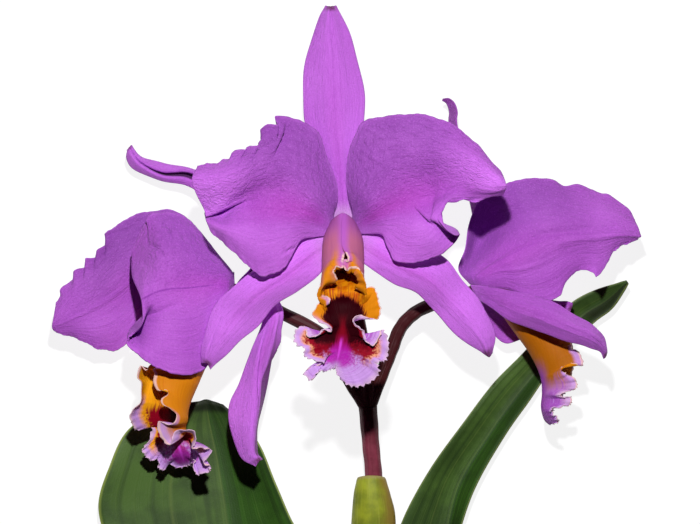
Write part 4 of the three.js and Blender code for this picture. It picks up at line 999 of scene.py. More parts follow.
# What each blade adds to its net: the height of a petal's waves and the crisping of its rim (height,
# reach, waves), drawn margins as knots (s, x, y, z) of the first or last edge, lifts, creases, pleats
# and patches of wrinkles
FORMS = {
    "center_left_petal": {
        "wave": 0.5,
        "crisp": (0.25, 0.15, 15),
        "first_edge": [
            (0.04, -5, 6, 1.5), (0.07, -4.6, 9.5, 2), (0.1, -3.2, 14, 3), (0.125, -2.5, 18.5, 3.5),
            (0.16, -2.7, 23, 3.5), (0.21, -4.4, 28.5, 3.5), (0.28, -8, 37.5, 3), (0.36, -10.5, 46, 3),
            (0.41, -13, 50.5, 3), (0.47, -20, 55, 4), (0.53, -27, 57.2, 5), (0.56, -33.2, 58, 7),
            (0.575, -34, 56.4, 8), (0.59, -32.6, 53.8, 9.5), (0.61, -37.5, 53.6, 9),
            (0.635, -40.8, 51.4, 8), (0.66, -40.8, 48.2, 7), (0.68, -38.6, 46.2, 8.5),
            (0.7, -36.6, 43, 5), (0.73, -42, 42.8, 9.5), (0.765, -47, 42.7, 7), (0.785, -48.5, 41, 9),
            (0.82, -54, 40.7, 7), (0.845, -56, 37, 9.5), (0.87, -59.5, 36.2, 7), (0.9, -62.5, 34.3, 9),
            (0.94, -67, 34.2, 7.5), (1, -72.5, 33, 7),
        ],
        "creases": [
            ((0.97, 0.5), (0.5, 0.41), 0.06, -3.0), ((0.66, 0.07), (0.69, 0.15), 0.012, -0.9),
            ((0.35, 0.98), (0.45, 0.9), 0.012, -0.8), ((0.42, 0.05), (0.32, 0.2), 0.01, -0.35),
            ((0.47, 0.12), (0.35, 0.3), 0.012, -0.3), ((0.36, 0.03), (0.24, 0.16), 0.01, -0.3),
            ((0.62, 0.2), (0.5, 0.34), 0.016, -0.4),
        ],
        "pleats": [
            ((1.0, 0.58), (0.6, 0.45), 0.8, 2.4, 4.0), ((0.545, 0.09), (0.575, 0.27), 0.8, 2.0, -2.6),
        ],
        "wrinkles": [
            ((0.4, 0.93), (0.14, 0.09), 6, 34, 0.18), ((0.4, 0.12), (0.16, 0.14), 16, 13, 0.1),
        ],
    },
    "center_right_petal": {
        "wave": 0.4,
        "crisp": (0.2, 0.12, 14),
        "first_edge": [
            (0.04, 5.2, 6, 1.5), (0.07, 5, 9.5, 2), (0.1, 3.6, 14, 3), (0.13, 2.4, 19, 4),
            (0.17, 1.8, 24, 4), (0.22, 1.6, 30, 3.5), (0.28, 2.4, 37, 3), (0.33, 4, 43.5, 3),
            (0.39, 7, 50, 3),
        ],
        "last_edge": [
            (0.36, 24, -11.5, 6.5), (0.4, 26, -14.5, 7), (0.49, 34.5, -15.5, 8), (0.58, 44.5, -13, 8),
            (0.63, 51, -10, 8), (0.665, 56, -5, 9), (0.69, 58, -0.5, 12), (0.705, 55, 2, 15),
            (0.72, 50.5, 5, 15), (0.74, 47.5, 7.5, 13), (0.765, 49.5, 10.5, 11), (0.785, 50.5, 14.5, 9),
            (0.82, 56.5, 14.5, 7), (0.84, 58.5, 16.2, 8.5), (0.87, 62.5, 15.4, 6), (0.9, 66, 14.5, 7),
            (0.93, 70, 16.6, 5), (0.96, 74.5, 17.8, 6), (1, 79.5, 18.3, 3),
        ],
        "lifts": [((0.97, 0.5), (0.26, 0.7), 15.0), ((0.58, 0.56), (0.16, 0.06), -1.8)],
        "creases": [
            ((0.42, 0.0), (0.475, 0.12), 0.007, -0.7), ((0.375, 0.03), (0.44, 0.13), 0.009, -0.5),
            ((0.36, 0.08), (0.4, 0.24), 0.008, -0.6), ((0.33, 0.02), (0.345, 0.16), 0.012, -0.35),
            ((0.49, 0.03), (0.52, 0.14), 0.006, -0.4),
        ],
        "pleats": [
            ((0.685, 0.97), (0.5, 0.66), 1.2, 3.6, -6.0), ((0.535, 0.72), (0.42, 0.54), 0.5, 1.0, -1.6),
        ],
        "wrinkles": [((0.38, 0.08), (0.13, 0.14), 16, 12, 0.15), ((0.36, 0.3), (0.2, 0.2), 22, -9, 0.06)],
    },
    "left_near_petal": {
        "wave": 0.25,
        "crisp": (0.12, 0.1, 12),
        "first_edge": [
            (0.1, 0.8, 7.5, 4), (0.18, -4, 13.5, 5), (0.286, -11, 23, 4), (0.4, -19, 32.5, 3),
            (0.5, -25.5, 37.8, 3), (0.58, -31, 39, 3.5), (0.7, -40.5, 38.6, 5.5), (0.8, -43.5, 34.5, 9),
        ],
        "lifts": [((0.97, 0.84), (0.08, 0.07), -6.0), ((0.95, 0.55), (0.16, 0.16), 5.0)],
        "creases": [
            ((0.6, 0.03), (0.48, 0.22), 0.014, -0.8), ((0.66, 0.05), (0.6, 0.18), 0.012, -0.5),
            ((0.83, 0.17), (0.68, 0.29), 0.014, -0.7), ((0.56, 0.12), (0.44, 0.26), 0.02, 0.5),
            ((0.85, 0.7), (0.5, 0.6), 0.02, -0.6), ((0.2, 0.68), (0.3, 0.86), 0.02, -0.7),
            ((0.92, 0.24), (0.84, 0.3), 0.01, -0.5),
        ],
        "pleats": [((1.0, 0.9), (0.755, 0.56), 1.5, 5.0, 14.0)],
        "wrinkles": [((0.58, 0.14), (0.22, 0.16), 12, 17, 0.2), ((0.97, 0.94), (0.05, 0.1), 10, 44, 0.45)],
    },
    "left_far_petal": {
        "wave": 0.5,
        "crisp": (0.15, 0.1, 18),
        "first_edge": [
            (0.43, -43, 39.3, -11), (0.47, -48, 38.5, -10), (0.55, -56.5, 34, -9), (0.6, -60.5, 31, -8),
            (0.635, -64.2, 28.7, -6), (0.66, -63, 24, -9), (0.7, -68.2, 20.2, -6),
            (0.73, -69, 16.4, -9), (0.77, -74.2, 15.8, -5), (0.795, -74, 11.8, -8),
            (0.84, -79.8, 9.8, -5), (0.87, -81, 5.2, -8), (0.92, -86.7, 0.6, -5), (0.95, -87, -3.2, -6),
            (1, -89, -6.5, -5),
        ],
        "creases": [
            ((0.52, 0.1), (0.62, 0.03), 0.012, -0.6), ((0.6, 0.16), (0.68, 0.07), 0.012, -0.6),
            ((0.68, 0.2), (0.78, 0.1), 0.012, -0.5), ((0.5, 0.5), (0.95, 0.55), 0.02, 0.5),
        ],
        "lifts": [((0.5, 0.6), (0.2, 0.4), -7.0)],
    },
    "right_near_petal": {
        "wave": 0.3,
        "crisp": (0.12, 0.1, 14),
        "lifts": [((0.33, 0.22), (0.17, 0.2), -17.0)],
        "creases": [
            ((0.1, 0.44), (0.85, 0.47), 0.035, 1.2), ((0.6, 0.57), (1.0, 0.53), 0.03, -1.2),
            ((0.2, 0.62), (0.5, 0.66), 0.02, -0.5), ((0.56, 0.03), (0.55, 0.2), 0.01, -0.25),
            ((0.62, 0.03), (0.6, 0.24), 0.01, -0.25),
        ],
        "first_edge": [
            (0.45, 1, 47.5, 1), (0.53, 12.5, 53, -1), (0.57, 17, 54.6, -1), (0.62, 24, 56, -1),
            (0.67, 32, 56, -2), (0.7, 37, 55.3, -2.5), (0.725, 40.5, 53, -4), (0.75, 44, 52.2, -3),
            (0.78, 49.5, 53, -4.5), (0.81, 54, 51.4, -5), (0.86, 60.5, 48.7, -5.5),
            (0.885, 65, 47.9, -6), (0.94, 71.5, 43.5, -6), (0.97, 76, 40, -6), (1, 78.3, 35, -6),
        ],
        "last_edge": [
            (0.45, 38.5, -4, 8), (0.48, 40.7, -2.5, 8), (0.51, 41.7, 0.5, 8), (0.545, 44, 5, 7),
            (0.6, 48.5, 9.2, 6), (0.65, 52.5, 10, 6), (0.71, 57, 8.5, 7), (0.74, 58.7, 6.6, 8),
            (0.78, 61.7, 9.5, 5), (0.83, 65, 15, 3.5), (0.865, 66.2, 19.3, 2), (0.885, 68.5, 19.8, 4),
            (0.92, 70, 23, 1), (0.96, 74.5, 23, 1), (0.985, 77.3, 26, -1), (1, 80.6, 27.3, -2),
        ],
    },
    "right_far_petal": {"grid": (90, 56), "wave": 1.3, "crisp": (0.4, 0.3, 15)},
    "left_near_sepal": {
        "creases": [((0.3, 0.3), (0.62, 0.62), 0.025, -0.8), ((0.2, 0.72), (0.42, 0.66), 0.05, 0.7)],
        "pleats": [((0.36, 1.0), (0.56, 0.52), 0.7, 2.0, 2.6)],
    },
    "center_left_sepal": {
        "creases": [((0.05, 0.5), (0.9, 0.5), 0.05, -0.35), ((0.7, 0.25), (0.94, 0.4), 0.04, -0.5)],
    },
    "center_right_sepal": {
        "creases": [((0.05, 0.5), (0.9, 0.5), 0.05, -0.35), ((0.8, 0.55), (1.0, 0.5), 0.06, -0.7)],
    },
    "center_dorsal_sepal": {
        "creases": [((0.1, 0.5), (0.95, 0.5), 0.05, 0.5), ((0.86, 0.4), (1.0, 0.46), 0.04, -0.6)],
    },
    "right_near_sepal": {
        "creases": [
            ((0.3, 0.3), (0.9, 0.36), 0.03, -0.35), ((0.3, 0.62), (0.9, 0.6), 0.03, -0.35),
            ((0.3, 0.46), (0.95, 0.48), 0.04, 0.4),
        ],
    },
}

# How fast the shift of a petal's edge fades into the sheet, as pairs (s, power)
PETAL_POWERS = [(0, 3.5), (0.35, 4), (0.55, 5), (1, 5)]

# How each tissue differs from the plain one. Some paint light and shade: shade on the upper half,
# light at the tip and on the lower half, shade in a groove and on a folded margin.
TISSUE_LOOKS = {
    "middle_petal": dict(blush=0.62, painted_upper_shade=(0.7, 0.55), bright=(0.0, 1.0, 0.3), crinkle=1.4),
    "side_petal": dict(blush=0.4, painted_upper_shade=(0.8, 0.8), bright=(0.0, 0.15, 0.0), midrib=0.3, crinkle=0.8),
    "near_petal": dict(blush=0.35, painted_upper_shade=(0.6, 0.5), bright=(0.0, 0.1, 0.15), midrib=1.0, crinkle=1.3),
    "dorsal_sepal": dict(blush=0.2, claw=((0.2, 0.04), 0.8), midrib=0.2, brown=0.9),
    "grooved_sepal": dict(blush=0.2, brown=0.9, groove_shade=1.0),
    "curled_sepal": dict(blush=0.1, bright=(0.0, 0.0, 0.0), midrib=0.3, crinkle=0.7, deep=0.6),
    "lateral_sepal": dict(claw=((0.28, 0.03), 0.6), bright=(0.85, 0.6, 0.0), midrib=0.2, brown=0.9),
    "hanging_sepal": dict(bright=(0.75, 0.6, 0.0), midrib=0.2, brown=0.9, crinkle=0.6, fold_shade_strength=0.9),
    "reverse_sepal": dict(blush=0.1, bright=(0.05, 0.3, 0.0), midrib=0.4, brown=0.9, crinkle=0.7),
}
TISSUES = {name: petal_finish(name + "_tissue", **look) for name, look in TISSUE_LOOKS.items()}
TISSUE_OF = {
    "center_left_petal": "middle_petal",
    "center_right_petal": "middle_petal",
    "left_near_petal": "near_petal",
    "left_far_petal": "side_petal",
    "right_near_petal": "side_petal",
    "right_far_petal": "side_petal",
    "center_dorsal_sepal": "dorsal_sepal",
    "left_dorsal_sepal": "grooved_sepal",
    "left_near_sepal": "hanging_sepal",
    "right_dorsal_sepal": "curled_sepal",
    "right_near_sepal": "reverse_sepal",
    "right_far_sepal": "reverse_sepal",
}


def make_blade(node, net, seed):
    """One petal or sepal through its net, with its waves, creases and veins."""
    bloom, _, kind = node.split("_")
    petal = kind == "petal"
    form = FORMS.get(node, {})
    grid = net_surface(net, *form.get("grid", BLADE_GRIDS[kind]))
    if petal:
        wave = form["wave"]
        grid = waved(grid, wave, wave * PETAL_WAVE_REACH, PETAL_WAVES, PETAL_WAVE_START)
    else:
        grid = waved(grid, *SEPAL_WAVES)
    for edge, margin in ((-1, "first_edge"), (1, "last_edge")):
        if margin in form:
            grid = laid(grid, edge, form[margin], PETAL_POWERS)
    grid = lifted(grid, form.get("lifts", []))
    grid = creased(grid, form.get("creases", []))
    grid = pleated(grid, form.get("pleats", []))
    grid = wrinkled(grid, form.get("wrinkles", []))
    if petal:
        grid = crisped(grid, *form["crisp"], seed)
    grid = veined(grid, *BLADE_VEINS[kind], seed) + np.array(CENTERS[bloom])
    thickness = BLADE_THICKNESS[kind]
    material = TISSUES[TISSUE_OF.get(node, "lateral_sepal")]
    sheet = closed_sheet(node + "_fine", above_floor(grid, thickness), thickness, [material, material])
    dress(sheet, node)


for seed, (node, net) in enumerate(NETS.items()):
    make_blade(node, net, 10 * seed)


# ---- Lips and columns --------------------------------------------------------------------------------


def rolled(stations, rows, columns, edge):
    """A sheet rolled round its own midline. Each station holds a point of the midline, half the flat
    width, the angle that this half is rolled through and a twist. A point lies on a circle of radius
    half width over angle, at the angle times v, where v runs from -1 to 1 across; edge adds a way out
    from the circle and ahead."""
    s = np.linspace(0, 1, rows)
    v = np.linspace(-1, 1, columns)
    station = spline(stations, s)
    step = 0.01
    forward = spline(stations, np.minimum(s + step, 1)) - spline(stations, np.maximum(s - step, 0))
    forward = unit(np.stack([np.zeros(rows), forward[:, 1], forward[:, 2]], -1))
    plain_inward = np.stack([np.zeros(rows), forward[:, 2], -forward[:, 1]], -1)
    twist = station[:, 5:6] if station.shape[1] > 5 else np.zeros((rows, 1))
    inward = plain_inward * np.cos(twist) + np.cross(forward, plain_inward) * np.sin(twist)
    across = np.cross(inward, forward)
    radius = (station[:, 3] / station[:, 4])[:, None, None]
    angle = station[:, 4:5] * v
    outward = across[:, None] * np.sin(angle)[..., None] - inward[:, None] * np.cos(angle)[..., None]
    out, ahead = edge(s[:, None], v[None, :])
    midline = station[:, None, :3] + inward[:, None] * radius
    return midline + outward * (radius + out[..., None]) + forward[:, None] * ahead[..., None]


def turned_out(grid, hems):
    """The grid with hems that turn outward like a bell's mouth. Each is (edge, s from, s to, (x, y) of
    the mouth, depth, drop): a little inside the edge the sheet is drawn toward the mouth by the depth
    and lowered by the drop, so that the strip from there to the edge shows its inner face."""
    s, t = sheet_share(grid)
    grid = grid.copy()
    for edge, first, last, mouth, depth, drop in hems:
        near = bump(edge * (2 * t - 1), 0.93, 0.045) * smooth(s, first - 0.015, first + 0.01)
        near = near * smooth(s, last + 0.015, last - 0.01)
        toward = unit(np.array(mouth) - grid[..., :2])
        grid[..., :2] += toward * (depth * near)[..., None]
        grid[..., 2] -= drop * near
    return grid


def toothed(grid, height, start, seed):
    """The grid with a finely toothed rim from the share start on. A tooth points away from the sheet in
    its own plane, along the cross product of the sheet's normal and the rim's direction."""
    s, t = sheet_share(grid)
    side = 2 * t - 1
    near = np.abs(side) ** 40 * smooth(s, start, start + 0.04)
    facing = normals(grid)
    rims = unit(np.cross(facing[:, [0, -1]], np.gradient(grid[:, [0, -1]], axis=0)))
    outward = np.where(side[..., None] > 0, rims[:, 1:], -rims[:, :1])
    tooth = np.sin(TURN * 95 * s + 3 * rumple(s * 9, np.sign(side), seed))
    return grid + outward * (height * near * tooth)[..., None]


def necked(ring, receptacle):
    """The foot of a tube: its first ring drawn in toward the receptacle. With u from 0 to 1, the ring's
    middle moves on a straight line by u, and its radius grows from a share of its size as the sine of a
    quarter turn times u."""
    middle = ring.mean(axis=0)
    u = np.linspace(0, 1, FOOT_ROWS)[:, None, None]
    size = FOOT_SHARE + (1 - FOOT_SHARE) * np.sin(u * TURN / 4)
    return receptacle + (middle - receptacle) * u + (ring - middle) * size


def plain_edge(s, v):
    """No flare and no frill."""
    return np.zeros(np.broadcast(s, v).shape), np.zeros(np.broadcast(s, v).shape)


def lip_edge(flare_left, flare_right, throat, frill, seed):
    """A lip's margin: flared at the throat, and from there on ruffled in waves of two sizes, with fine
    teeth on the rim. Frill scales the large waves on each side, -1 and 1."""

    def edge(s, v):
        margin = np.abs(v)
        flare = np.where(v < 0, flare_left, flare_right) * bump(s, throat, 0.07) * margin**4
        opened = smooth(s, 0.38, 0.6)
        size = np.where(v < 0, frill[0], frill[1]) * opened
        phase = TURN * 7 * s + np.where(v < 0, 0.4, 2.2)
        ruffle = margin**6 * np.sin(TURN * 17 * s + 2.5 * rumple(s * 4, np.sign(v), seed))
        teeth = margin**16 * np.sin(TURN * 60 * s + 3 * rumple(s * 9, np.sign(v), seed + 1))
        out = flare + size * (2.4 * margin**4 * np.sin(phase) + 1.3 * ruffle) + 0.16 * opened * teeth
        ahead = size * margin**5 * 0.9 * np.sin(TURN * 14 * s + 1)
        return out, ahead

    return edge


# Each lip has the turns of its bloom, the receptacle that it grows from, the stations of its midline,
# its flare and frill, drawn margins as knots (s, x, y, z) from the bloom's centre, hems, lifts, crisping
# and teeth. Its colours follow. Dark is where the maroon starts, how it spreads to the sides and how far
# it stays from the margin, and core its soft start. Speckle, flank and pale are colours. Lobe, lilac,
# orange, keel and edge begin between the first two numbers of their "from", apex and margin between
# theirs. Orange starts sooner near the seam, from its third number outward. Keel is a strength, and so
# is the painted shade, a shade painted over the orange outside. Joined is 1 where the two margins close
# without a cream rim.

# What most lips have in common
LIP_USUAL = {
    "receptacle": (0, 0, 0),
    "frill": (0, 0),
    "hems": [],
    "lifts": [],
    "core": (0.06, 0.2),
    "flank": ORANGE,
    "pale": ORANGE_CREAM,
    "speckle": MAGENTA,
    "lobe_from": (0.62, 0.67),
    "apex": (0.855, 0.9),
    "margin": (0.2, 0.08),
    "edge_from": (0.5, 0.58),
    "painted_shade": 0.0,
    "joined": 0.0,
}
LIPS = {
    "center": {
        "turns": (0, 0, 0, 0),
        "receptacle": (0, 0, -1),
        "stations": [
            (0, -2.6, 4.1, 22, 2.7), (0, -9, 8, 30, 2.95), (0, -18, 14, 32, 3.05),
            (0, -27, 23, 31, 3.05), (0, -33, 31, 30, 2.85), (0, -39, 34.5, 21, 1.7),
            (0, -45.5, 36, 10, 1), (-0.5, -52, 35.5, 18, 0.6), (-2, -60, 34.5, 12, 0.4),
            (-3.7, -66.7, 33.2, 1, 0.3),
        ],
        "flare": (0, 0, 0.5),
        "first_edge": [
            (0, -0.2, 9.5, 10), (0.08, 0.9, 5, 15), (0.16, 1.1, -1, 22.2), (0.24, 1.1, -7, 29),
            (0.32, 0.8, -11.5, 34.6), (0.37, 0.3, -14.5, 37.8), (0.4, 0.5, -17.3, 40.4),
            (0.42, -3, -17, 42), (0.44, -5, -19, 42.5), (0.46, -3, -22, 41), (0.475, -4, -24.4, 39),
            (0.49, -6.5, -24.3, 37), (0.505, -9.8, -24, 37), (0.52, -12, -27.3, 38),
            (0.535, -11.2, -31, 39.5), (0.555, -6.8, -32.4, 40.5), (0.57, -6.5, -34.6, 40),
            (0.585, -8.3, -35.7, 38.5), (0.6, -11.2, -34.6, 37), (0.615, -13, -36.8, 37),
            (0.63, -15.2, -41.2, 38), (0.65, -12, -44.2, 39), (0.67, -6.1, -47.8, 40),
            (0.685, -6.1, -49.3, 39.5), (0.7, -10.5, -48.9, 38), (0.715, -14.1, -52.2, 38),
            (0.735, -17.8, -51.5, 36), (0.75, -18.5, -48.5, 34), (0.765, -20, -46.7, 33),
            (0.785, -23.7, -49.3, 33), (0.81, -23.7, -55.2, 34), (0.83, -19.3, -57.4, 35.5),
            (0.845, -19.3, -61, 35), (0.86, -16.4, -63.2, 35), (0.875, -9.4, -64.7, 37.5),
            (0.89, -13, -66, 34), (0.905, -19.3, -69.5, 33), (0.925, -15.6, -73.9, 34),
            (0.945, -12.7, -69, 35.5), (0.97, -8.3, -69, 34.5), (1, -3.9, -66.9, 33.3),
        ],
        "last_edge": [
            (0, 0.2, 9.5, 10), (0.08, -0.7, 5, 16.1), (0.16, -0.8, -1, 23.6), (0.24, -0.5, -7, 30.6),
            (0.29, 0.8, -10, 35.5), (0.32, 1.2, -10.4, 38), (0.345, 2.2, -12.6, 38.5),
            (0.36, 2, -15, 38.5), (0.375, 0.5, -14, 37.5), (0.4, 0.3, -17.6, 39.2),
            (0.415, 2, -18.5, 41), (0.43, 4.2, -17, 43), (0.445, 7.1, -17, 43.5),
            (0.46, 9, -19.2, 42.5), (0.475, 10.8, -22.2, 41.5), (0.49, 10, -25, 40),
            (0.505, 7.6, -27.4, 39), (0.515, 8, -28.5, 38), (0.525, 11.5, -28, 37),
            (0.54, 15.2, -27.3, 37), (0.56, 17, -31, 38.5), (0.58, 17.8, -34.6, 39.5),
            (0.6, 18.8, -38.2, 40), (0.62, 17.8, -42.7, 40), (0.635, 14.5, -43, 39.5),
            (0.65, 11.5, -42, 39), (0.665, 7.8, -41.2, 39), (0.675, 5.3, -42.3, 39.5),
            (0.69, 6.4, -46.4, 39.5), (0.71, 10, -48.5, 39), (0.73, 11.5, -53.7, 38.5),
            (0.75, 14.8, -56.6, 38), (0.765, 18.1, -52.2, 37), (0.78, 20, -48.5, 36),
            (0.8, 22.5, -54.4, 35), (0.825, 22.2, -61, 34), (0.84, 21, -64, 34.5),
            (0.855, 18.9, -64, 35), (0.87, 16.7, -65.4, 35), (0.885, 18.1, -68.4, 34),
            (0.9, 16.7, -72, 33), (0.92, 11.5, -75.7, 32.5), (0.94, 6.4, -76.8, 33),
            (0.96, 2, -75.7, 33), (0.98, -2.5, -71.3, 33), (1, -3.9, -66.9, 33.3),
        ],
        "hems": [
            (1, 0.39, 0.53, (1.5, -26), 3.2, 2.2),
            (-1, 0.4, 0.44, (1.5, -26), 2.4, 2.0),
            (-1, 0.47, 0.54, (1.5, -27), 2.8, 2.0),
        ],
        "lifts": [((0.36, 0.5), (0.09, 0.2), 8.5)],
        "crisp": (0.55, 0.25, 40, 0.25),
        "teeth": (0.65, 0.74),
        "dark": (0.41, 0.3, 0.15),
        "speckle": CRIMSON,
        "lilac_from": (0.6, 0.68),
        "orange_from": (0.35, 0.5, 0.7),
        "keel": 0.0,
        "keel_from": (0.46, 0.64),
        "joined": 1.0,
    },
    "left": {
        "turns": (22, -60, -9, 12),
        "stations": [
            (0, -2.6, 5.1, 13, 2.7, 0), (0, -14, 12, 24, 2.9, 0), (0, -27, 20.5, 30, 2.9, 0),
            (0, -38, 29, 31, 2.8, 0), (0, -47, 36.5, 31, 2.55, 0), (0, -54, 42, 27, 2, -0.2),
            (0, -61, 45, 16, 1.3, -0.5), (0, -67.5, 46, 18, 0.9, -0.8), (0, -75, 45.5, 14, 0.75, -0.9),
            (0, -82, 44.5, 1.5, 0.6, -0.9),
        ],
        "flare": (0, 0, 0.56),
        "first_edge": [
            (0.34, -41.5, -38, 15), (0.37, -43.3, -40.2, 16), (0.39, -45.6, -37.9, 16.5),
            (0.41, -47, -40.2, 16), (0.44, -47.5, -43.9, 15), (0.465, -45.6, -46.2, 13.5),
            (0.5, -45.6, -50.8, 12), (0.53, -46, -56.4, 11), (0.555, -49.8, -60, 10.5),
            (0.58, -51.5, -63.8, 9), (0.61, -50.2, -67.5, 6), (0.635, -48.4, -70.7, 2),
            (0.66, -44.2, -69.3, -2), (0.68, -40.5, -70.3, -3), (0.71, -43.3, -77.7, -3.5),
            (0.735, -45.6, -80.4, -3.5), (0.76, -44.2, -83.2, -4.5), (0.79, -41.5, -86, -5.5),
            (0.82, -37.8, -85.5, -7), (0.85, -37.3, -89.7, -7.5), (0.88, -35, -91, -8.5),
            (0.91, -32.2, -87.8, -10), (0.94, -28.5, -89.7, -10.5), (1, -23, -88.8, -11),
        ],
        "last_edge": [
            (0.34, -40, -39.5, 13), (0.37, -39.1, -42.5, 14), (0.4, -39.6, -46.2, 14.5),
            (0.425, -37.3, -50.4, 15.5), (0.445, -33.1, -49.9, 16), (0.46, -32.2, -52.2, 16.5),
            (0.48, -35.5, -54.5, 17), (0.495, -35, -57.3, 17.5), (0.515, -31.3, -59.2, 17.5),
            (0.535, -28, -62.4, 17), (0.555, -29, -66.1, 17.5), (0.57, -32.2, -67.5, 17),
            (0.585, -36.8, -65.6, 16.5), (0.6, -37.3, -70.3, 15), (0.615, -35, -74.9, 13),
            (0.63, -31.3, -78.1, 12), (0.65, -29.9, -73, 12.5), (0.665, -25.7, -69.8, 12.5),
            (0.685, -19.3, -71.2, 12.5), (0.7, -17.9, -74.9, 12), (0.715, -20.2, -78.5, 12.5),
            (0.735, -16.5, -79.5, 10), (0.76, -11.9, -79.5, 8), (0.78, -10.9, -83.2, 7),
            (0.8, -14.6, -86, 7), (0.825, -11.4, -88.8, 4), (0.85, -11.4, -91, 3),
            (0.875, -16.5, -92.9, 1), (0.9, -19.3, -91.5, 0), (0.925, -19.3, -86, -1),
            (0.96, -21, -88, -6), (1, -23, -88.8, -11),
        ],
        "lifts": [
            ((0.48, 0.2), (0.14, 0.14), 10.0), ((0.5, 0.42), (0.14, 0.13), 14.0),
            ((0.84, 0.45), (0.13, 0.3), 8.0),
        ],
        "crisp": (0.7, 0.35, 36, 0.5),
        "teeth": (0.35, 0.58),
        "dark": (0.5, 0.1, 0.34),
        "core": (0.3, 0.5),
        "flank": FLANK_YELLOW,
        "pale": FLANK_YELLOW,
        "lobe_from": (0.5, 0.56),
        "apex": (0.74, 0.82),
        "margin": (0.26, 0.12),
        "lilac_from": (0.62, 0.7),
        "orange_from": (0.15, 0.35, 0.4),
        "keel": 0.3,
        "keel_from": (0.31, 0.49),
    },
    "right": {
        "turns": (0, 95, 0, 0),
        "stations": [
            (0, -2.6, 5.1, 13, 2.7), (0, -10, 10, 24, 2.95), (0, -20, 17, 30, 3.05),
            (0, -30, 24.5, 30, 2.8), (0, -38, 29, 28, 2.2), (0, -45, 31.5, 25, 1.8),
            (0, -52, 32, 21, 1.5), (0, -59, 31.5, 19, 1.3), (0, -65, 33, 13, 1), (0, -68, 36, 1.5, 0.8),
        ],
        "flare": (0, 5, 0.5),
        "frill": (0, 1),
        "first_edge": [
            (0.42, 45.5, -27.5, 6), (0.45, 47, -30, 7), (0.47, 50.5, -31.8, 8), (0.5, 51.5, -38, 9),
            (0.52, 45.5, -36.5, 10), (0.54, 41, -39, 10.5), (0.56, 42.5, -41.8, 10),
            (0.58, 45.5, -43, 9.5), (0.6, 48.5, -45.5, 9.5), (0.625, 48.5, -49.3, 9.5),
            (0.65, 44, -51, 10), (0.67, 40, -53, 11), (0.69, 42.5, -53.5, 10), (0.71, 46, -54, 9.5),
            (0.74, 45.5, -57.5, 9.5), (0.77, 41, -58.5, 10), (0.8, 36, -59.5, 10.5),
            (0.84, 36.5, -61.5, 9.5), (0.88, 38.8, -64, 8), (0.92, 39.8, -66, 6),
            (0.96, 37.5, -66.8, 3), (1, 35.2, -67.3, -2),
        ],
        "last_edge": [(0.86, 37.5, -60.2, -16), (0.93, 36.5, -63, -12), (1, 35.2, -67.3, -2)],
        "crisp": (0.8, 0.4, 30, 0.25),
        "teeth": (0.35, 0.45),
        "dark": (0.41, 0.25, 0.2),
        "lilac_from": (0.52, 0.7),
        "orange_from": (0.12, 0.24, 0.3),
        "keel": 1.0,
        "keel_from": (0.38, 0.56),
        "edge_from": (0.4, 0.46),
        # Strength of the painted shade over the orange
        "painted_shade": 0.55,
    },
}


def swept(points, radii, steps, sides, bulge=None):
    """A round tube: a circle of the given radius carried along the smooth curve through the points,
    square to it, closed by a point at each end. Bulge is a function of (along, around) that scales the
    radius. The section's first direction stays square to the path by leaving out what lies along it."""
    s = np.linspace(0, 1, steps)
    path = spline(points, s)
    radius = spline(np.asarray(radii, float)[:, None], s)
    forward = unit(np.gradient(path, axis=0))
    level = abs(forward[:, 2]).mean() < 0.7
    reference = np.array([0.0, 0.0, 1.0]) if level else np.array([1.0, 0.0, 0.0])
    first = unit(reference - forward * (forward @ reference)[:, None])
    second = np.cross(forward, first)
    around = np.linspace(0, 1, sides, endpoint=False)
    scale = radius if bulge is None else radius * bulge(s[:, None], around[None, :])
    cos, sin = np.cos(TURN * around)[:, None], np.sin(TURN * around)[:, None]
    circle = first[:, None] * cos + second[:, None] * sin
    grid = path[:, None] + circle * np.broadcast_to(scale, (steps, sides))[..., None]
    return grid, path, s, around


def tube_mesh(name, tubes, material):
    """Closed tubes in one mesh: rings joined by quads, and a fan of triangles to the path's end at each
    end."""
    vertices, faces, uv = [], [], []
    start = 0
    for grid, path, s, around in tubes:
        steps, sides = grid.shape[:2]
        number = start + np.arange(steps * sides).reshape(steps, sides)
        nxt = np.roll(number, -1, axis=1)
        quads = np.stack([number[:-1], nxt[:-1], nxt[1:], number[1:]], -1).reshape(-1, 4)
        foot, head = start + steps * sides, start + steps * sides + 1
        ends = [
            np.stack([np.full(sides, foot), nxt[0], number[0]], -1),
            np.stack([np.full(sides, head), number[-1], nxt[-1]], -1),
        ]
        vertices.append(np.concatenate([grid.reshape(-1, 3), path[:1], path[-1:]]))
        faces.extend(quads.tolist())
        faces.extend(np.concatenate(ends).tolist())
        pairs = np.stack(np.broadcast_arrays(s[:, None], around[None, :]), -1).reshape(-1, 2)
        uv.append(np.concatenate([pairs, [[0, 0.5]], [[1, 0.5]]]))
        start += steps * sides + 2
    slots = np.zeros(len(faces))
    return write_mesh(name, np.concatenate(vertices), faces, np.concatenate(uv), slots, [material])


# How fast the shift of a lip's edge fades into the sheet: over the whole hood at the base, only near
# the rim at the throat, where it turns outward like a trumpet's bell, and over the whole middle lobe
LIP_POWERS = [
    (0, 1.5), (0.12, 2.4), (0.34, 3), (0.4, 7), (0.47, 6), (0.54, 3), (0.7, 2.2), (0.85, 1.8), (1, 1.8),
]

# The rows and columns of the lips' sheets, the depth and number of their veins, and the first seed
LIP_GRIDS = {"center": (300, 110), "left": (270, 100), "right": (220, 84)}
LIP_VEINS = (0.06, 12)
LIP_SEED = 200

# A lip's foot has so many rows and starts at the receptacle with this share of its first ring's size
FOOT_ROWS = 14
FOOT_SHARE = 0.35

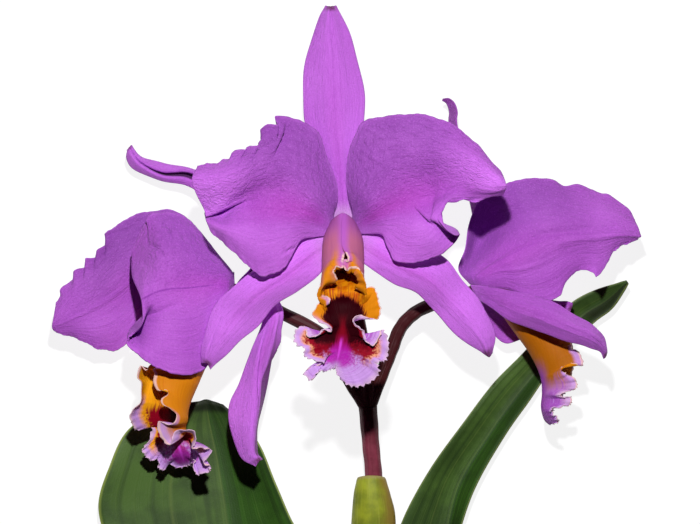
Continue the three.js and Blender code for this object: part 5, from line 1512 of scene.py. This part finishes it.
# The column starts this far from the receptacle and reaches along so many of the tube's steps, with a
# point of its path at every stride. It narrows to these shares of its radius at its ends
COLUMN_RADIUS = 2.2
COLUMN_ENDS = (0.8, 0.9)
COLUMN_GRID = (60, 32)
COLUMN_CLEARANCE = 3.7
COLUMN_STEPS = 100
COLUMN_REACH = 30
COLUMN_STRIDE = 6
column_material = column_finish("column_tissue")


def make_lip(bloom, spec, seed):
    """The lip as a rolled, frilled sheet, and the foot that narrows from its tube to the receptacle."""
    turned = bloom_turns(*spec["turns"])
    grid = rolled(spec["stations"], *LIP_GRIDS[bloom], lip_edge(*spec["flare"], spec["frill"], seed))
    grid = placed(grid, turned, (0, 0, 0))
    grid = laid(grid, -1, spec["first_edge"], LIP_POWERS)
    grid = laid(grid, 1, spec["last_edge"], LIP_POWERS)
    grid = turned_out(lifted(grid, spec["lifts"]), spec["hems"])
    grid = crisped(grid, *spec["crisp"][:3], seed + 7, spec["crisp"][3])
    grid = toothed(grid, *spec["teeth"], seed + 9)
    grid = veined(grid, *LIP_VEINS, seed + 5) + np.array(CENTERS[bloom])
    faces = [lip_inner_finish(bloom + "_lip_inside", spec), lip_outer_finish(bloom + "_lip_outside", spec)]
    dress(closed_sheet(bloom + "_lip_fine", grid, LIP_THICKNESS, faces), bloom + "_lip")
    joint = placed(np.array(spec["receptacle"], float), turned, CENTERS[bloom])
    foot = closed_sheet(bloom + "_lip_foot", necked(grid[0], joint), LIP_THICKNESS, faces, reach=0.0)
    dress(foot, bloom + "_lip")


def make_column(bloom, spec):
    """The column: a round tube from the receptacle along the middle of the lip's tube."""
    tube = rolled(spec["stations"], COLUMN_STEPS + 1, 3, plain_edge)
    reach = COLUMN_REACH + 1
    station = spline(spec["stations"], np.linspace(0, 1, COLUMN_STEPS + 1)[:reach])
    middle = tube[:reach, 1]
    forward = unit(np.gradient(middle, axis=0))
    inward = np.stack([np.zeros(reach), forward[:, 2], -forward[:, 1]], -1)
    middle = middle + inward * (station[:, 3] / station[:, 4])[:, None]
    receptacle = np.array(spec["receptacle"], float)
    base = receptacle + unit(middle[0] - receptacle) * COLUMN_CLEARANCE
    path = np.concatenate([base[None], middle[::COLUMN_STRIDE]])
    path = placed(path, bloom_turns(*spec["turns"]), CENTERS[bloom])
    radii = [COLUMN_RADIUS * COLUMN_ENDS[0]] + [COLUMN_RADIUS] * (len(path) - 2)
    radii.append(COLUMN_RADIUS * COLUMN_ENDS[1])
    column = tube_mesh(bloom + "_column_fine", [swept(path, radii, *COLUMN_GRID)], column_material)
    dress(column, bloom + "_column")


for seed, (bloom, own) in enumerate(LIPS.items()):
    spec = {**LIP_USUAL, **own}
    make_lip(bloom, spec, LIP_SEED + 20 * seed)
    make_column(bloom, spec)


# ---- Stem, sheath, leaves and pseudobulb -------------------------------------------------------------

FORK = (9, -73, 24)
PEDUNCLE = [
    (7.5, -200.2, 12), (7.8, -190, 12.5), (10, -165, 14.5), (12, -130, 18), (12, -109, 20),
    (10.5, -92, 22),
    FORK,
]
CENTER_PEDICEL = [
    FORK, (8, -52, 27), (3, -22, 34), (-2, 5, 40), (-3.5, 15, 48), (-3.5, 15, 55), (-3.5, 15, 58.4),
]
LEFT_PEDICEL = [
    FORK, (1, -61, 22.5), (-7, -47.5, 21.5), (-16, -35.5, 21), (-36.5, -24.5, 19), (-48, -17, 22), LEFT,
]
RIGHT_PEDICEL = [FORK, (16.5, -55, 22), (21, -44, 21), (25, -34, 21), (31, -27, 22), (40, -22, 24), RIGHT]
STEM_RADIUS = 4.2

# The steps and sides of the tubes
PEDUNCLE_GRID = (120, 40)
PEDICEL_GRID = (110, 40)
BULB_GRID = (60, 96)


def ribbed(s, around):
    """Six shallow ribs that turn slowly along the stem."""
    return 1 + 0.035 * np.cos(TURN * (6 * around + 0.6 * s)) + 0.02 * np.sin(TURN * 9 * s)


def make_stem():
    """The peduncle and the three pedicels that part at its fork, each with the radii past the fork."""
    tubes = [swept(PEDUNCLE, [STEM_RADIUS] * 6 + [STEM_RADIUS + 0.4], *PEDUNCLE_GRID, ribbed)]
    for points, radii in (
        (CENTER_PEDICEL, [3.4, 3.3, 3.2, 3.2, 3.3, 3.3]),
        (LEFT_PEDICEL, [3.8, 3.5, 3.3, 3.2, 3.3, 3.3]),
        (RIGHT_PEDICEL, [3.6, 3.4, 3.3, 3.3, 3.2, 3.3]),
    ):
        tubes.append(swept(points, [STEM_RADIUS, *radii], *PEDICEL_GRID, ribbed))
    dress(tube_mesh("flower_stem_fine", tubes, stem_finish("stem_skin")), "flower_stem")


make_stem()

# The leaves: rows and columns, waves (height, reach, number, start), and the depth and number of veins
LEAF_GRID = (130, 50)
LEAF_WAVES = (0.5, 0.3, 1.5, 0.2)
LEAF_VEINS = (0.07, 20)
LEFT_LEAF = [
    [(2, -200.2, 17.6), (0.8, -200.2, 15.5), (0.3, -200.2, 12), (0.8, -200.2, 9.5), (2, -200.2, 7.4)],
    [(-12, -191, 17), (-9, -188, 12), (-6, -184, 9), (-4, -181, 7.5), (-3.5, -178, 8)],
    [(-50, -190, 14), (-40, -178, 6), (-28, -170, 4), (-18, -163, 6), (-12, -156, 12)],
    [(-89, -176, 12), (-67, -164, 5), (-47, -156, 2), (-32, -149, 6), (-22, -142, 12)],
    [(-115, -154, 11), (-86, -146, 5), (-60, -139.5, 1), (-43, -135, 5), (-30, -130, 12)],
    [(-126.5, -127, 11), (-93, -124, 5), (-64, -120, 1), (-49, -116, 5), (-37, -112.5, 12)],
    [(-122, -104, 11), (-92, -102, 5), (-67.5, -99, 1), (-55, -96, 5), (-45, -94, 11)],
    [(-110, -83, 9), (-88, -83, 5), (-71, -82.5, 2), (-62, -81.5, 4), (-55, -80, 8)],
    [(-82, -71, 6), (-76.5, -70.5, 5), (-73, -69.5, 4), (-69, -70.5, 5), (-64, -72, 6)],
]
RIGHT_LEAF = [
    [(13, -200.2, 7.4), (14.9, -200.2, 12), (13, -200.2, 16.6)],
    [(18, -182, 7), (23, -183, 8), (25, -186, 15)],
    [(20, -152, 8), (37, -165, 3), (43, -168, 12)],
    [(27, -129.5, 8), (46.5, -144, 1), (51.5, -147.5, 12)],
    [(40.5, -105, 8), (55, -112.5, 1), (62.5, -116, 11)],
    [(56.5, -82, 8), (71, -86, 1), (78.5, -87, 10)],
    [(71.5, -62.5, 6), (84, -68, 1), (91, -69, 9)],
    [(87, -47, 5), (97.5, -51.5, 1), (103, -52, 8)],
    [(99, -33, 5), (107, -38, 1), (112.5, -40.5, 8)],
    [(111.5, -21, 5), (118.5, -27, 1), (123.5, -30, 9)],
    [(124, -14.5, 6), (130, -19.5, 4), (133, -23, 10)],
    [(139.5, -9.5, 11), (140, -10, 10.5), (140.5, -11, 11.5)],
]


def make_leaf(node, net, seed, folded_shade, rib, tip, edge):
    """A leaf through its net, with faint veins, nowhere below the floor."""
    grid = waved(net_surface(net, *LEAF_GRID), *LEAF_WAVES)
    grid = above_floor(veined(grid, *LEAF_VEINS, seed), LEAF_THICKNESS)
    material = leaf_finish(node + "_skin", folded_shade, rib, tip, edge)
    dress(closed_sheet(node + "_fine", grid, LEAF_THICKNESS, [material, material]), node)


make_leaf("left_leaf", LEFT_LEAF, 400, folded_shade=0.0, rib=0.1, tip=0.85, edge=0.7)
make_leaf("right_leaf", RIGHT_LEAF, 420, folded_shade=1.0, rib=0.12, tip=0.0, edge=0.3)

# The sheath: its rows and columns, the depth and number of its ribs, its foot and its stations
SHEATH_GRID = (80, 60)
SHEATH_RIBS = (0.06, 24)
SHEATH_FOOT = (7.5, -199.4, 12)
SHEATH = [
    (0, -0.8, 5.6, 16, 2.9), (1.3, 15, 7.6, 18.5, 2.9), (2.8, 35, 11, 24.5, 2.9), (4, 55, 15, 31, 2.9),
    (4.4, 72, 16.8, 30.5, 2.9), (3.6, 84, 16.3, 25.5, 2.9), (3.2, 92, 14.5, 18, 2.6),
]


def make_sheath():
    """The sheath, rolled round the stem's lower end."""
    grid = rolled(SHEATH, *SHEATH_GRID, plain_edge) + np.array(SHEATH_FOOT)
    grid = veined(grid, *SHEATH_RIBS, 440)
    skin = sheath_finish("sheath_skin")
    dress(closed_sheet("sheath_fine", grid, SHEATH_THICKNESS, [skin, skin]), "sheath")


make_sheath()

# Pairs (share along the pseudobulb, radius)
BULB_PROFILE = [(0, 9.0), (0.05, 10), (0.25, 11.4), (0.6, 12), (0.92, 10.5), (1, 8)]


def make_bulb():
    """The pseudobulb's top: a turned profile with furrows, its cut end closed flat."""
    along = np.linspace(0, 1, BULB_GRID[0])
    radii = np.interp(along, *zip(*BULB_PROFILE))
    points = [PSEUDOBULB_TOP - np.array([0, PSEUDOBULB_LENGTH * (1 - share), 0]) for share in along]

    def furrowed(s, around):
        return 1 - 0.025 * (0.5 + 0.5 * np.cos(TURN * 12 * around)) * smooth(s, 0.02, 0.15)

    tube = swept(points, radii, *BULB_GRID, furrowed)
    dress(tube_mesh("pseudobulb_fine", [tube], bulb_finish("bulb_skin")), "pseudobulb")


make_bulb()


# ---- Floor, light and camera -------------------------------------------------------------------------

FLOOR_SIZE = 6.0
FLOOR_GREY = (0.16, 0.16, 0.16)
FLOOR_GLOW = 0.87
KEY_PLACE = (0.0, 0.44, 1.18)
KEY_SIZE = 0.05
KEY_WATTS = 17.6
WHITE = (1.0, 1.0, 1.0)
AMBIENT = 0.008
CAMERA_DISTANCE = 4000.0
FOCUS_HEIGHT = 50.0
VIEW_WIDTH = 350.0
SENSOR = 36.0


def make_floor():
    """A pale floor under the part, which glows a little, as a light table does."""
    mesh = bpy.data.meshes.new("floor")
    corners = [(x * FLOOR_SIZE, y * FLOOR_SIZE, 0) for x, y in ((-1, -1), (1, -1), (1, 1), (-1, 1))]
    mesh.from_pydata(corners, [], [(0, 1, 2, 3)])
    floor = bpy.data.objects.new("floor", mesh)
    bpy.context.scene.collection.objects.link(floor)
    finish = Finish("floor_paper")
    finish.set(Base_Color=FLOOR_GREY, Roughness=0.9, Specular_IOR_Level=0.1)
    finish.set(Emission_Color=WHITE, Emission_Strength=FLOOR_GLOW)
    mesh.materials.append(finish.material)


def make_light(name, place, size, power):
    """A square area light that faces the part."""
    data = bpy.data.lights.new(name, "AREA")
    data.size = size
    data.energy = power
    light = bpy.data.objects.new(name, data)
    light.location = place
    direction = -np.array(place)
    light.rotation_euler = (
        math.atan2(math.hypot(direction[0], direction[1]), -direction[2]),
        0,
        math.atan2(direction[1], direction[0]) - math.pi / 2,
    )
    bpy.context.scene.collection.objects.link(light)


def make_camera():
    """Straight above the drawing frame's origin, with +Y up in the picture."""
    data = bpy.data.cameras.new("camera")
    data.sensor_width = SENSOR
    data.lens = SENSOR * CAMERA_DISTANCE / VIEW_WIDTH
    data.clip_end = 50
    camera = bpy.data.objects.new("camera", data)
    camera.location = ((ORIGIN + np.array([0, 0, FOCUS_HEIGHT + CAMERA_DISTANCE])) * MM).tolist()
    bpy.context.scene.collection.objects.link(camera)
    bpy.context.scene.camera = camera


make_floor()
make_light("key", KEY_PLACE, KEY_SIZE, KEY_WATTS)
make_camera()

world = bpy.data.worlds.new("studio")
world.use_nodes = True
world.node_tree.nodes["Background"].inputs["Color"].default_value = (*WHITE, 1)
world.node_tree.nodes["Background"].inputs["Strength"].default_value = AMBIENT
bpy.context.scene.world = world
bpy.context.scene.view_settings.view_transform = "Standard"
